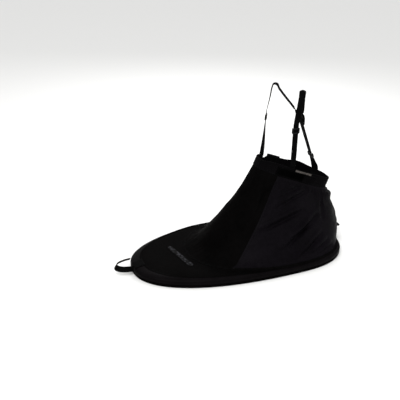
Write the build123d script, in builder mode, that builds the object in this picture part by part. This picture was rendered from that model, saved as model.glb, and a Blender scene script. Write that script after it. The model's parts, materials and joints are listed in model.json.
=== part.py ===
from build123d import *

import os
from math import atan2, copysign, cos, degrees, pi, radians, sin

# Kayak spray skirt, in millimetres. +X points to the bow, +Y to port and +Z up.
# The origin is the centre of the cockpit coaming, in the flat plane of the hem's lower edge.

# Coaming outline that the hem stretches around: two superellipse halves, widest aft of the middle
coaming_length = 890
coaming_width = 480
widest_x = -120
bow_roundness = 2.24
stern_roundness = 2.97
outline_steps = 44

# Hem: a cord casing with a taller rand band above it, and the deck panel on top
fabric = 3.0
casing_wall = 1.6
casing_height = 13.0
casing_depth = 14.0
rand_height = 27.0
sewn_gap = 0.3
deck_bottom = rand_height + sewn_gap
deck_top = deck_bottom + fabric

# Body tunnel: where it leaves the deck, its swell half way up, and the tilted waist oval at its top
tunnel_base_centre = -135
tunnel_base_bow_reach = 340
tunnel_base_stern_reach = 308
tunnel_base_width = 444
tunnel_bow_roundness = 2.15
tunnel_stern_roundness = 2.6
swell_centre = (-175, 0, 180)
swell_bow_reach = 226
swell_stern_reach = 290
swell_width = 276
swell_bow_roundness = 1.9
deck_overlap = 6
waist_centre = (-244, 0, 359.5)
waist_tilt = 21.5
waist_length = 352
waist_width = 125
waist_roundness = 4.0
front_seam_apex = -230
front_seam_slope = 1.5
rear_seam_apex = -377
rear_seam_slope = -0.44
seam_reach = 400
tunnel_top = 450

# Waistband: an outer and an inner wall with wide elastic between them
collar_height = 45
collar_wall = 1.2
elastic_thickness = 1.4
elastic_height = 34
collar_thickness = 2 * collar_wall + elastic_thickness + 2 * sewn_gap

# Suspenders: 25 mm webbing. The empty waist tube hangs twisted, so the port foot sits further aft
webbing_width = 25
webbing_thickness = 2.0
port_foot = Vector(-203, 55, 373)
port_glide = Vector(-203, 55, 530)
port_apex = Vector(-221, 50, 686)
port_wall = Vector(1, 0, 0)
port_face = Vector(0.895, -0.446, 0)
port_apex_radius = 8
starboard_foot = Vector(-116, -48, 405)
starboard_glide = Vector(-127, -52, 560)
starboard_apex = Vector(-161, -55, 691)
starboard_wall = Vector(0.97, 0.25, 0)
starboard_glide_wall = Vector(0.55, 0.835, 0)
starboard_face = Vector(0.656, 0.755, 0)
starboard_apex_radius = 13
yoke = Vector(-254, 0, 553)
yoke_turn = 8
yoke_down = Vector(-0.38, 0, -0.92).normalized().rotate(Axis.Z, yoke_turn)
yoke_aft = Vector(-0.92, 0, 0.38).normalized().rotate(Axis.Z, yoke_turn)
yoke_across = Vector(0, 1, 0).rotate(Axis.Z, yoke_turn)
rear_foot = Vector(-377.5, -44.5, 307)
rear_glide = Vector(-335.7, -27.8, 386.3)
rear_wall = Vector(-0.95, 0.31, 0)
rear_glide_wall = Vector(-0.1, 0.995, 0)
strap_end_depth = 36
straight_past_glide = 26
straight_before_glide = 14
leg_spacing = 14
leg_start_back = 2.3
leg_start_up = 0.3
leg_hold = 0.85
twist_steps = (0.33, 0.66)
shoulder_steps = (0.25, 0.5, 0.75)
apex_steps = (0, 45, 90, 135)
leg_end_height = 9
yoke_top_height = 35
rear_top_height = 3
rear_twist_start = 28
rear_twist_end = 40

# Tri-glide adjusters
glide_width = 31
glide_length = 22
glide_thickness = 7.0
glide_rail = 2.6
glide_bar = 4.4
glide_slot = 2.8

# Shock cord and its two tails at the stern
cord_radius = 2.5
cord_inset = 7.0
cord_height = casing_height / 2
tail_spacing = 5.0
tail_turn_radius = 12
tail_rise = 40
tail_lift_radius = 15
tail_length = 46
buttonhole_length = 56

# Spring cord lock on the tails
lock_width = 28
lock_length = 18
lock_height = 22
lock_distance = 20
plunger_width = 20.4
plunger_length = 9.0
plunger_clearance = 0.4
plunger_foot = 1.4
plunger_travel = 3.0
button_height = 5.0
lock_floor = 1.4
spring_radius = 3.2
spring_wire = 0.3
spring_turns = 2.5

# Grab loop at the bow
loop_root_x = 447
loop_reach = 64
loop_half_width = 23
loop_rise = 9
loop_height = 12
loop_sections = 9
near_lean = 5
far_lean = 42


def superellipse(centre_x, bow_reach, stern_reach, half_width, bow_power, stern_power):
    """Points around a closed outline made of a bow half and a stern half."""
    points = []
    for step in range(outline_steps):
        angle = 2 * pi * step / outline_steps
        along = cos(angle)
        reach, power = (bow_reach, bow_power) if along >= 0 else (stern_reach, stern_power)
        across = (1 - min(abs(along), 1) ** power) ** (1 / power)
        points.append((centre_x + reach * along, copysign(half_width * across, sin(angle))))
    return points


def hem_outline(inset):
    """The coaming outline, pulled in by inset."""
    bow_reach = coaming_length / 2 - widest_x - inset
    stern_reach = coaming_length / 2 + widest_x - inset
    half_width = coaming_width / 2 - inset
    return superellipse(widest_x, bow_reach, stern_reach, half_width, bow_roundness, stern_roundness)


def tunnel_base_outline(inset):
    """Where the body tunnel meets the deck, pulled in by inset."""
    bow_reach = tunnel_base_bow_reach - inset
    stern_reach = tunnel_base_stern_reach - inset
    half_width = tunnel_base_width / 2 - inset
    return superellipse(
        tunnel_base_centre, bow_reach, stern_reach, half_width, tunnel_bow_roundness, tunnel_stern_roundness
    )


def swell_outline(inset):
    """The body tunnel's section half way up, pulled in by inset."""
    bow_reach = swell_bow_reach - inset
    stern_reach = swell_stern_reach - inset
    half_width = swell_width / 2 - inset
    return superellipse(0, bow_reach, stern_reach, half_width, swell_bow_roundness, tunnel_stern_roundness)


def tilted_plane(centre, tilt):
    """A plane whose bow end is raised by tilt degrees."""
    raised = radians(tilt)
    return Plane(origin=centre, x_dir=(cos(raised), 0, sin(raised)), z_dir=(-sin(raised), 0, cos(raised)))


waist_plane = tilted_plane(waist_centre, waist_tilt)
collar_base_plane = waist_plane.offset(-collar_height)


def waist_oval(inset):
    """The waist outline in the waist plane, pulled in by inset."""
    half_length = waist_length / 2 - inset
    half_width = waist_width / 2 - inset
    return superellipse(0, half_length, half_length, half_width, waist_roundness, waist_roundness)


def hem_ring(outer_inset, inner_inset, bottom, height):
    """A closed band that follows the coaming outline."""
    with BuildPart() as ring:
        with BuildSketch(Plane.XY.offset(bottom)):
            with BuildLine():
                Spline(*hem_outline(outer_inset), periodic=True)
            make_face()
            with BuildLine():
                Spline(*hem_outline(inner_inset), periodic=True)
            make_face(mode=Mode.SUBTRACT)
        extrude(amount=height)
    return ring.part


def waist_ring(outer_inset, inner_inset, bottom, height):
    """A closed band that follows the waist oval, standing on the waist plane's offset bottom."""
    with BuildPart() as ring:
        with BuildSketch(waist_plane.offset(bottom)):
            with BuildLine():
                Spline(*waist_oval(outer_inset), periodic=True)
            make_face()
            with BuildLine():
                Spline(*waist_oval(inner_inset), periodic=True)
            make_face(mode=Mode.SUBTRACT)
        extrude(amount=height)
    return ring.part


def waist_patch(outer_inset, inner_inset, middle, length, bottom, height, side):
    """A piece of webbing or tape that follows one side of the waist oval. side is 1 to port, -1 to starboard."""
    ring = waist_ring(outer_inset, inner_inset, bottom, height)
    with BuildPart() as patch:
        add(ring)
        with BuildSketch(waist_plane.offset(bottom)):
            with Locations((middle, side * waist_width / 2)):
                Rectangle(length, waist_width / 2)
        extrude(amount=height, mode=Mode.INTERSECT)
    return patch.part


def tunnel_solid(inset):
    """The body tunnel's outer form pulled in by inset, from the deck to the waistband."""
    with BuildPart() as solid:
        with BuildSketch(Plane.XY.offset(deck_top + sewn_gap)):
            with BuildLine():
                Spline(*tunnel_base_outline(inset), periodic=True)
            make_face()
        with BuildSketch(tilted_plane(swell_centre, waist_tilt / 2)):
            with BuildLine():
                Spline(*swell_outline(inset), periodic=True)
            make_face()
        with BuildSketch(collar_base_plane.offset(-sewn_gap)):
            with BuildLine():
                Spline(*waist_oval(inset), periodic=True)
            make_face()
        loft()
    return solid.part


def seam_corner(apex, slope, side):
    """Where a seam's upright plane reaches seam_reach from the centreline."""
    return (apex + slope * seam_reach, side * seam_reach)


def tunnel_panel(shell, corners):
    """The part of the tunnel shell that stands over a polygon."""
    with BuildPart() as panel:
        add(shell)
        with BuildSketch():
            with BuildLine():
                Polyline(*corners, close=True)
            make_face()
        extrude(amount=tunnel_top, mode=Mode.INTERSECT)
    return panel.part


def webbing(stations, width=webbing_width, thickness=webbing_thickness):
    """A band lofted through stations of (centre, direction of travel, direction across the band)."""
    with BuildPart() as band:
        for centre, travel, across in stations:
            forward = Vector(*travel).normalized()
            sideways = Vector(*across)
            square = sideways - forward * sideways.dot(forward)
            with BuildSketch(Plane(origin=centre, x_dir=square, z_dir=forward)):
                Rectangle(width, thickness)
        loft(ruled=True)
    return band.part


def shoulder_stations(foot, glide, apex, radius, walls, face, side):
    """A front suspender: up from inside the waistband, over the shoulder and down the back to the yoke.

    walls are the directions of its width at the waistband and at the glide. face is its direction at the shoulder.
    """
    wall, glide_wall = walls
    climb = (glide - foot).normalized()
    straight_start = glide - climb * straight_before_glide
    straight_end = glide + climb * straight_past_glide
    over = Vector(-face.Y, face.X, 0) * side
    shoulder = apex + over * radius - Vector(0, 0, 2 * radius)
    leg_start = shoulder - over * leg_start_back * radius + Vector(0, 0, leg_start_up * radius)
    leg_across = yoke_across * -side
    leg_meet = yoke - yoke_down * yoke_top_height + yoke_across * side * leg_spacing
    leg_end = yoke - yoke_down * leg_end_height + yoke_across * side * leg_spacing
    fall = leg_meet - leg_start
    stations = [
        (foot - waist_plane.z_dir * strap_end_depth, waist_plane.z_dir, wall),
        (foot, climb, wall),
    ]
    for part_way in twist_steps:
        centre = foot + (straight_start - foot) * part_way
        stations.append((centre, climb, wall * (1 - part_way) + glide_wall * part_way))
    stations.append((straight_start, climb, glide_wall))
    stations.append((straight_end, climb, glide_wall))
    for part_way in shoulder_steps:
        centre = straight_end + (shoulder - straight_end) * part_way
        stations.append((centre, shoulder - straight_end, glide_wall * (1 - part_way) + face * part_way))
    for lift in apex_steps:
        turn = radians(lift)
        centre = shoulder - over * radius * (1 - cos(turn)) + Vector(0, 0, radius * (1 + sin(turn)))
        travel = Vector(0, 0, cos(turn)) - over * sin(turn)
        stations.append((centre, travel, face))
    stations.append((leg_start, fall, face))
    stations.append((leg_start + fall * leg_hold, fall, face))
    stations.append((leg_start + fall * (1 + leg_hold) / 2, fall, face + leg_across))
    stations.append((leg_meet, yoke_down, leg_across))
    stations.append((leg_end, yoke_down, leg_across))
    return stations


def tri_glide(centre, travel, across):
    """A three-bar slide. Its outer bars lie in front of the webbing and its middle bar behind it."""
    forward = Vector(*travel).normalized()
    sideways = Vector(*across)
    square = sideways - forward * sideways.dot(forward)
    base = Plane(origin=centre, x_dir=square, z_dir=forward)
    bar_depth = (glide_thickness - glide_slot) / 2
    with BuildPart(base) as glide:
        Box(glide_width, glide_thickness, glide_length)
        Box(glide_width - 2 * glide_rail, glide_thickness, glide_length, mode=Mode.SUBTRACT)
        outer_offset = glide_length / 2 - glide_bar / 2
        with Locations(
            (0, bar_depth / 2 + glide_slot / 2, outer_offset),
            (0, bar_depth / 2 + glide_slot / 2, -outer_offset),
            (0, -bar_depth / 2 - glide_slot / 2, 0),
        ):
            Box(glide_width - 2 * glide_rail, bar_depth, glide_bar)
        corners = glide.edges().filter_by(lambda edge: abs(edge.length - glide_thickness) < 0.01)
        outer = corners.sort_by(lambda edge: -(edge.center() - Vector(*centre)).length)[:4]
        fillet(outer, radius=2.5)
    return glide.part


parts = {}

# --- Hem: cord casing, rand band and shock cord ---

casing_ring = hem_ring(0, casing_depth, 0, casing_height)
casing_channel = hem_ring(
    casing_wall, casing_depth - casing_wall, casing_wall, casing_height - 2 * casing_wall
)
with BuildPart() as cord_casing:
    add(casing_ring)
    add(casing_channel, mode=Mode.SUBTRACT)
    with Locations((-coaming_length / 2, 0, cord_height)):
        Box(4 * casing_wall, buttonhole_length, casing_height - 2 * casing_wall, mode=Mode.SUBTRACT)
parts["cord_casing"] = cord_casing.part

parts["rand_band"] = hem_ring(0, fabric, casing_height + sewn_gap, rand_height - casing_height - sewn_gap)

cord_points = hem_outline(cord_inset)
stern_x = min(x for x, _ in cord_points)
turn_y = tail_spacing + tail_turn_radius
port_run = [(x, y, cord_height) for x, y in cord_points if y > 2.5 * turn_y]
starboard_run = [(x, y, cord_height) for x, y in cord_points if y < -2.5 * turn_y]
bow_tip = (max(x for x, _ in cord_points), 0, cord_height)
ring_points = (
    [(stern_x, turn_y, cord_height), (stern_x, turn_y + 12, cord_height)]
    + sorted(port_run, key=lambda p: degrees(atan2(p[1], p[0] - widest_x)), reverse=True)
    + [bow_tip]
    + sorted(starboard_run, key=lambda p: degrees(atan2(p[1], p[0] - widest_x)), reverse=True)
    + [(stern_x, -turn_y - 12, cord_height), (stern_x, -turn_y, cord_height)]
)
rise = radians(tail_rise)
tail_direction = Vector(-cos(rise), 0, sin(rise))
turned_x = stern_x - tail_turn_radius
lifted_x = turned_x - tail_lift_radius * sin(rise)
lifted_z = cord_height + tail_lift_radius * (1 - cos(rise))
tail_end = Vector(lifted_x, 0, lifted_z) + tail_direction * tail_length

with BuildLine() as cord_path:
    Spline(*ring_points)
    for side in (1, -1):
        TangentArc(
            (stern_x, side * turn_y, cord_height),
            (turned_x, side * tail_spacing, cord_height),
            tangent=(0, -side, 0),
        )
        TangentArc(
            (turned_x, side * tail_spacing, cord_height),
            (lifted_x, side * tail_spacing, lifted_z),
            tangent=(-1, 0, 0),
        )
        Line(
            (lifted_x, side * tail_spacing, lifted_z),
            (tail_end.X, side * tail_spacing, tail_end.Z),
        )

with BuildPart() as shock_cord:
    for run in cord_path.edges():
        with BuildSketch(Plane(origin=run @ 0, z_dir=run % 0)):
            Circle(cord_radius)
        sweep(path=run, is_frenet=True)
parts["shock_cord"] = shock_cord.part

patch_x = -coaming_length / 2 - sewn_gap
with BuildPart() as buttonhole_patch:
    with Locations((patch_x - casing_wall / 2, 0, cord_height)):
        Box(casing_wall, buttonhole_length + 16, casing_height - 1)
        Box(casing_wall, 22, casing_height - 2 * casing_wall, mode=Mode.SUBTRACT)
parts["buttonhole_patch"] = buttonhole_patch.part

# --- Cord lock on the two tails ---

tail_start = Vector(lifted_x, 0, lifted_z)
lock_plane = Plane(
    origin=tail_start + tail_direction * lock_distance,
    x_dir=(0, 1, 0),
    z_dir=(sin(rise), 0, cos(rise)),
)
cord_way = 2 * (tail_spacing + cord_radius) + 2 * plunger_clearance
cord_gap = 2 * cord_radius + 2 * plunger_clearance
cavity_floor = -lock_height / 2 + lock_floor
with BuildPart(lock_plane) as cord_lock_body:
    Box(lock_width, lock_length, lock_height)
    fillet(cord_lock_body.edges().filter_by(Axis((0, 0, 0), tuple(lock_plane.z_dir))), radius=4)
    Box(cord_way, lock_length, cord_gap, mode=Mode.SUBTRACT)
    with Locations((0, 0, cavity_floor + lock_height / 2)):
        Box(
            plunger_width + 2 * plunger_clearance,
            plunger_length + 2 * plunger_clearance,
            lock_height,
            mode=Mode.SUBTRACT,
        )
parts["cord_lock_body"] = cord_lock_body.part

plunger_bottom = -cord_gap / 2 - plunger_foot
plunger_top = lock_height / 2 + plunger_travel + sewn_gap
with BuildPart(lock_plane) as cord_lock_plunger:
    with Locations((0, 0, (plunger_bottom + plunger_top) / 2)):
        Box(plunger_width, plunger_length, plunger_top - plunger_bottom)
    with Locations((0, 0, plunger_travel / 2)):
        Box(cord_way, plunger_length, cord_gap + plunger_travel, mode=Mode.SUBTRACT)
    with Locations((0, 0, plunger_top + button_height / 2)):
        Box(plunger_width + 2, plunger_length + 4, button_height)
parts["cord_lock_plunger"] = cord_lock_plunger.part

spring_bottom = cavity_floor + spring_wire + 0.1
spring_height = plunger_bottom - spring_wire - 0.1 - spring_bottom
spring_base = lock_plane.offset(spring_bottom)
with BuildPart() as cord_lock_spring:
    with BuildLine():
        coil = Helix(
            pitch=spring_height / spring_turns,
            height=spring_height,
            radius=spring_radius,
            center=tuple(spring_base.origin),
            direction=tuple(spring_base.z_dir),
        )
    with BuildSketch(Plane(origin=coil @ 0, z_dir=coil % 0)):
        Circle(spring_wire)
    sweep(is_frenet=True)
parts["cord_lock_spring"] = cord_lock_spring.part

stop_plane = Plane(origin=tail_end + tail_direction * 5.2, x_dir=(0, 1, 0), z_dir=tail_direction)
with BuildPart(stop_plane) as cord_end_stop:
    Box(2 * tail_spacing + 10, 10, 9)
    fillet(cord_end_stop.edges(), radius=2.5)
parts["cord_end_stop"] = cord_end_stop.part

# --- Deck panel, reflective strip and grab loop ---

with BuildPart() as deck_panel:
    with BuildSketch(Plane.XY.offset(deck_bottom)):
        with BuildLine():
            Spline(*hem_outline(0), periodic=True)
        make_face()
        with BuildLine():
            Spline(*tunnel_base_outline(deck_overlap), periodic=True)
        make_face(mode=Mode.SUBTRACT)
    extrude(amount=fabric)
parts["deck_panel"] = deck_panel.part

strip_centre = (251, 10)
strip_length = 172
strip_width = 19
strip_angle = 101
with BuildPart() as reflective_strip:
    with BuildSketch(Plane.XY.offset(deck_top + sewn_gap)):
        with Locations(Location(strip_centre, strip_angle)):
            SlotOverall(strip_length, strip_width)
    extrude(amount=0.8)
parts["reflective_strip"] = reflective_strip.part

anchor_length = 42
with BuildPart() as grab_loop_anchor:
    with BuildSketch(Plane.XY.offset(deck_top + sewn_gap)):
        with Locations((loop_root_x - 5 - anchor_length / 2, 0)):
            RectangleRounded(anchor_length, 2 * loop_half_width, 5)
    extrude(amount=webbing_thickness)
parts["grab_loop_anchor"] = grab_loop_anchor.part

loop_stations = []
for section in range(loop_sections):
    turn = radians(90 - 180 * section / (loop_sections - 1))
    lean = radians((far_lean + near_lean) / 2 - (far_lean - near_lean) / 2 * sin(turn))
    inward = Vector(-cos(turn), -sin(turn), 0)
    middle = Vector(
        loop_root_x + loop_reach * cos(turn),
        loop_half_width * sin(turn),
        deck_top + loop_height - loop_rise * sin(turn),
    )
    travel = (loop_reach * sin(turn), -loop_half_width * cos(turn), 0)
    loop_stations.append((middle, travel, inward * sin(lean) + Vector(0, 0, cos(lean))))
parts["grab_loop"] = webbing(loop_stations)

# --- Body tunnel panels ---

tunnel_outer = tunnel_solid(0)
tunnel_inner = tunnel_solid(fabric)
with BuildPart() as tunnel_shell:
    add(tunnel_outer)
    add(tunnel_inner, mode=Mode.SUBTRACT)

front_port = seam_corner(front_seam_apex, front_seam_slope, 1)
front_starboard = seam_corner(front_seam_apex, front_seam_slope, -1)
rear_port = seam_corner(rear_seam_apex, rear_seam_slope, 1)
rear_starboard = seam_corner(rear_seam_apex, rear_seam_slope, -1)
seam_half = sewn_gap
parts["tunnel_front_panel"] = tunnel_panel(
    tunnel_shell.part,
    [(front_seam_apex + seam_half, 0), front_port, front_starboard],
)
parts["tunnel_back_panel"] = tunnel_panel(
    tunnel_shell.part,
    [(rear_seam_apex - seam_half, 0), rear_starboard, (-2 * seam_reach, 0), rear_port],
)
for name, side in (("tunnel_port_panel", 1), ("tunnel_starboard_panel", -1)):
    front_corner = seam_corner(front_seam_apex - 2 * seam_half, front_seam_slope, side)
    rear_corner = seam_corner(rear_seam_apex + seam_half, rear_seam_slope, side)
    parts[name] = tunnel_panel(
        tunnel_shell.part,
        [(front_seam_apex - 2 * seam_half, 0), front_corner, rear_corner, (rear_seam_apex + seam_half, 0)],
    )

# --- Waistband ---

parts["waistband_outer"] = waist_ring(0, collar_wall, -collar_height, collar_height)
elastic_inset = collar_wall + sewn_gap
parts["waist_elastic"] = waist_ring(
    elastic_inset,
    elastic_inset + elastic_thickness,
    -(collar_height + elastic_height) / 2,
    elastic_height,
)
parts["waistband_lining"] = waist_ring(
    collar_thickness - collar_wall, collar_thickness, -collar_height, collar_height
)

tape = 1.2
side_patch_middle = 42
side_patch_length = 130
side_patch_height = 32
side_patch_depth = 10
rim_margin = 2
parts["side_patch"] = waist_patch(
    -sewn_gap - tape,
    -sewn_gap,
    side_patch_middle,
    side_patch_length,
    -side_patch_height - side_patch_depth,
    side_patch_height,
    1,
)
label_inset = -2 * sewn_gap - tape
label_length = 98
label_height = 11
parts["waist_label"] = waist_patch(
    label_inset - 1, label_inset, 0, label_length, -label_height - rim_margin, label_height, 1
)

# --- Waist adjuster tab: hook and loop on the starboard side ---

tab_middle = 66
tab_length = 62
loop_tape_length = 96
parts["loop_tape"] = waist_patch(-sewn_gap - tape, -sewn_gap, tab_middle - 12, loop_tape_length, -34, 26, -1)
hook_inset = -2 * sewn_gap - tape
parts["hook_tape"] = waist_patch(hook_inset - tape, hook_inset, tab_middle, tab_length - 10, -32, 22, -1)
tab_inset = hook_inset - tape - sewn_gap
parts["waist_tab"] = waist_patch(tab_inset - webbing_thickness, tab_inset, tab_middle, tab_length, -32, 36, -1)

# --- Suspenders ---

parts["port_shoulder_strap"] = webbing(
    shoulder_stations(
        port_foot, port_glide, port_apex, port_apex_radius, (port_wall, port_wall), port_face, 1
    )
)
parts["starboard_shoulder_strap"] = webbing(
    shoulder_stations(
        starboard_foot,
        starboard_glide,
        starboard_apex,
        starboard_apex_radius,
        (starboard_wall, starboard_glide_wall),
        starboard_face,
        -1,
    )
)

rear_run = (rear_foot - rear_glide).normalized()
twist_start = yoke + yoke_down * rear_twist_start
twist_end = rear_glide - rear_run * rear_twist_end
twist_run = twist_end - twist_start
lower_start = rear_glide + rear_run * straight_before_glide
lower_run = rear_foot - lower_start
rear_stations = [
    (yoke - yoke_down * rear_top_height, yoke_down, yoke_across),
    (twist_start, yoke_down, yoke_across),
    (twist_start + twist_run * 0.5, twist_run, yoke_across),
    (twist_end, rear_run, rear_glide_wall),
    (lower_start, rear_run, rear_glide_wall),
]
for part_way in twist_steps:
    wall = rear_glide_wall * (1 - part_way) + rear_wall * part_way
    rear_stations.append((lower_start + lower_run * part_way, rear_run, wall))
rear_stations.append((rear_foot, rear_run, rear_wall))
rear_stations.append((rear_foot - waist_plane.z_dir * strap_end_depth, -waist_plane.z_dir, rear_wall))
parts["rear_strap"] = webbing(rear_stations)

return_shift = webbing_thickness + 2 * sewn_gap
return_end = 0.9
return_stations = []
for part_way in (0, *twist_steps, return_end):
    wall = rear_glide_wall * (1 - part_way) + rear_wall * part_way
    normal = wall.cross(rear_run).normalized()
    return_stations.append((lower_start + lower_run * part_way + normal * return_shift, rear_run, wall))
parts["rear_strap_return"] = webbing(return_stations)

patch_thickness = 1.6
patch_gap = webbing_thickness / 2 + 2 * sewn_gap + patch_thickness / 2
yoke_plane = Plane(origin=yoke + yoke_aft * patch_gap, x_dir=yoke_across, z_dir=yoke_aft)
with BuildPart() as yoke_patch:
    with BuildSketch(yoke_plane.offset(-patch_thickness / 2)):
        with BuildLine():
            Polyline((-29, -30), (29, -30), (29, -10), (15, 24), (-15, 24), (-29, -10), close=True)
        make_face()
        fillet(vertices(), radius=4)
    extrude(amount=patch_thickness)
parts["yoke_patch"] = yoke_patch.part

tack_length = 30
tack_height = 20
tack_depth = 25
tack_gap = patch_gap + 0.8
for name, foot, wall, inward in (
    ("port_strap_tack", port_foot, port_wall, 1),
    ("starboard_strap_tack", starboard_foot, starboard_wall, -1),
    ("rear_strap_tack", rear_foot, rear_wall, 1),
):
    to_middle = wall.cross(waist_plane.z_dir).normalized() * inward
    centre = foot - waist_plane.z_dir * tack_depth + to_middle * tack_gap
    with BuildPart(Plane(origin=centre, x_dir=waist_plane.z_dir, z_dir=to_middle)) as tack:
        Box(tack_height, tack_length, patch_thickness)
    parts[name] = tack.part

# --- Tri-glide adjusters ---

parts["port_adjuster"] = tri_glide(port_glide, port_glide - port_foot, port_wall)
parts["starboard_adjuster"] = tri_glide(
    starboard_glide, starboard_glide - starboard_foot, starboard_glide_wall
)
parts["rear_adjuster"] = tri_glide(rear_glide, rear_run, rear_glide_wall)

# --- Files ---

os.makedirs("parts", exist_ok=True)
for name, piece in parts.items():
    piece.label = name
    export_step(piece, f"parts/{name}.step")
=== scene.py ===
import json
import math

import bmesh
import bpy
import numpy as np
from mathutils import Matrix, Vector
from mathutils.bvhtree import BVHTree


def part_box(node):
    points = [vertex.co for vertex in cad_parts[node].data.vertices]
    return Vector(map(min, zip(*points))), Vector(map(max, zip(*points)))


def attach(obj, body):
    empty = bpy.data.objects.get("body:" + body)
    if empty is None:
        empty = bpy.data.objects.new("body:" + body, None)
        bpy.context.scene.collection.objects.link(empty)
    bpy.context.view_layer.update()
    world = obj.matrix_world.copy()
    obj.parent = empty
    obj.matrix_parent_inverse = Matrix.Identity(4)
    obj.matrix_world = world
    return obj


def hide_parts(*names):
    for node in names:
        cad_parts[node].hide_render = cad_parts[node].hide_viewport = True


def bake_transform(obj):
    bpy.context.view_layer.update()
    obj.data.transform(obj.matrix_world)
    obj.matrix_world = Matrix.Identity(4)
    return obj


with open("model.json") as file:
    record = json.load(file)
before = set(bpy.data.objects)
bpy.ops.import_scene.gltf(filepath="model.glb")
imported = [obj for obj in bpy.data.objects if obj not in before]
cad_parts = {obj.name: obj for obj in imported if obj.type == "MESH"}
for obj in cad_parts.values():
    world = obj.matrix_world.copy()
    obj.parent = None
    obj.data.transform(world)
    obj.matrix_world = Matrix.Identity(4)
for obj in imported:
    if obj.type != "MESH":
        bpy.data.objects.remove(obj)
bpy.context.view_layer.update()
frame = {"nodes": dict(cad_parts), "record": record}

# Places and sizes, in metres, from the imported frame. +X is the bow, +Y port.


def low(node):
    return np.array(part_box(node)[0])


def high(node):
    return np.array(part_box(node)[1])


def centre(node):
    return (low(node) + high(node)) / 2


def unit(vector):
    vector = np.asarray(vector, float)
    return vector / np.linalg.norm(vector)


def arc_length(path):
    """Distance along a path at each of its points."""
    return np.concatenate([[0], np.cumsum(np.linalg.norm(np.diff(path, axis=0), axis=1))])


def normalised(vectors):
    return vectors / np.linalg.norm(vectors, axis=-1, keepdims=True)


MM = 0.001
MOUNTS = {mount["name"]: mount for mount in frame["record"]["mounts"]}

HEM_LENGTH = high("cord_casing")[0] - low("cord_casing")[0]
HEM_WIDTH = high("cord_casing")[1] - low("cord_casing")[1]
HEM_WIDEST_X = -0.120
HEM_POWERS = (2.24, 2.97)
DECK_Z = high("deck_panel")[2]

BASE_REACHES = (0.340, 0.308)
BASE_CENTRE_X = high("tunnel_front_panel")[0] - BASE_REACHES[0]
BASE_HALF_WIDTH = 0.222
BASE_POWERS = (2.15, 2.6)

WAIST_CENTRE = np.array(MOUNTS["waist_opening"]["pos_m"])
WAIST_UP = unit(MOUNTS["waist_opening"]["axis"])
WAIST_ALONG = np.array([WAIST_UP[2], 0, -WAIST_UP[0]])
WAIST_ACROSS = np.array([0.0, 1.0, 0.0])
WAIST_REACHES = (0.173, 0.173)
WAIST_HALF_WIDTH = 0.060
WAIST_POWERS = (3.2, 3.6)
COLLAR_HEIGHT = 0.045

SWELL_CENTRE = np.array([-0.175, 0, 0.180])
SWELL_REACHES = (0.226, 0.290)
SWELL_HALF_WIDTH = 0.138
SWELL_POWERS = (1.9, 2.6)
SWELL_TILT = math.radians(10.75)

SWELL_TWIST = math.radians(6)
WAIST_TWIST = math.radians(9)

FRONT_SEAM = math.radians(49)
REAR_SEAM = math.radians(161)

WEBBING = 0.025


# Mesh helpers


def make_mesh(name, points, faces, materials, uv=None, face_material=None):
    """A mesh object from arrays. uv holds one pair for each vertex."""
    mesh = bpy.data.meshes.new(name)
    mesh.from_pydata([tuple(p) for p in points], [], [tuple(int(i) for i in f) for f in faces])
    for material in materials:
        mesh.materials.append(material)
    if face_material is not None:
        mesh.polygons.foreach_set("material_index", np.asarray(face_material, np.int32))
    mesh.polygons.foreach_set("use_smooth", np.full(len(mesh.polygons), True))
    if uv is not None:
        layer = mesh.uv_layers.new(name="UVMap")
        loops = np.zeros(len(mesh.loops), np.int32)
        mesh.loops.foreach_get("vertex_index", loops)
        layer.data.foreach_set("uv", np.asarray(uv, np.float32)[loops].ravel())
    mesh.validate()
    mesh.update()
    obj = bpy.data.objects.new(name, mesh)
    bpy.context.scene.collection.objects.link(obj)
    return obj


def grid_faces(rows, columns, closed=False):
    """Quads over a row-major grid. closed joins the last column to the first."""
    last = columns if closed else columns - 1
    r, c = np.meshgrid(np.arange(rows - 1), np.arange(last), indexing="ij")
    n = (c + 1) % columns
    faces = np.stack([r * columns + c, r * columns + n, (r + 1) * columns + n, (r + 1) * columns + c], -1)
    return faces.reshape(-1, 4)


def add_modifier(obj, kind, **settings):
    modifier = obj.modifiers.new(kind.lower(), kind)
    for key, value in settings.items():
        setattr(modifier, key, value)
    return modifier


def superellipse(phi, reaches, half_width, powers):
    """x and y of an outline whose bow and stern halves have their own reach and power."""
    along, across = np.cos(phi), np.sin(phi)
    bow = along >= 0
    reach = np.where(bow, reaches[0], reaches[1])
    power = np.where(bow, powers[0], powers[1])
    y = half_width * np.maximum(1 - np.abs(along) ** power, 0) ** (1 / power)
    return reach * along, np.copysign(y, across)


def hem_points(phi, z, inset=0.0):
    reaches = (HEM_LENGTH / 2 - HEM_WIDEST_X - inset, HEM_LENGTH / 2 + HEM_WIDEST_X - inset)
    x, y = superellipse(phi, reaches, HEM_WIDTH / 2 - inset, HEM_POWERS)
    return np.stack([x + HEM_WIDEST_X, y, np.full_like(x, z)], -1)


def base_points(phi):
    x, y = superellipse(phi, BASE_REACHES, BASE_HALF_WIDTH, BASE_POWERS)
    return np.stack([x + BASE_CENTRE_X, y, np.full_like(x, DECK_Z + MM)], -1)


def swell_points(phi):
    x, y = superellipse(phi, SWELL_REACHES, SWELL_HALF_WIDTH, SWELL_POWERS)
    along = np.array([math.cos(SWELL_TILT), 0, math.sin(SWELL_TILT)])
    return SWELL_CENTRE + x[:, None] * along + y[:, None] * WAIST_ACROSS


def waist_points(phi, up, inset=0.0):
    """Points on the waist oval, raised along the waist's own axis by up."""
    reaches = (WAIST_REACHES[0] - inset, WAIST_REACHES[1] - inset)
    x, y = superellipse(phi, reaches, WAIST_HALF_WIDTH - inset, WAIST_POWERS)
    flat = x[:, None] * WAIST_ALONG + y[:, None] * WAIST_ACROSS
    return WAIST_CENTRE + flat + np.asarray(up)[..., None] * WAIST_UP


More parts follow.
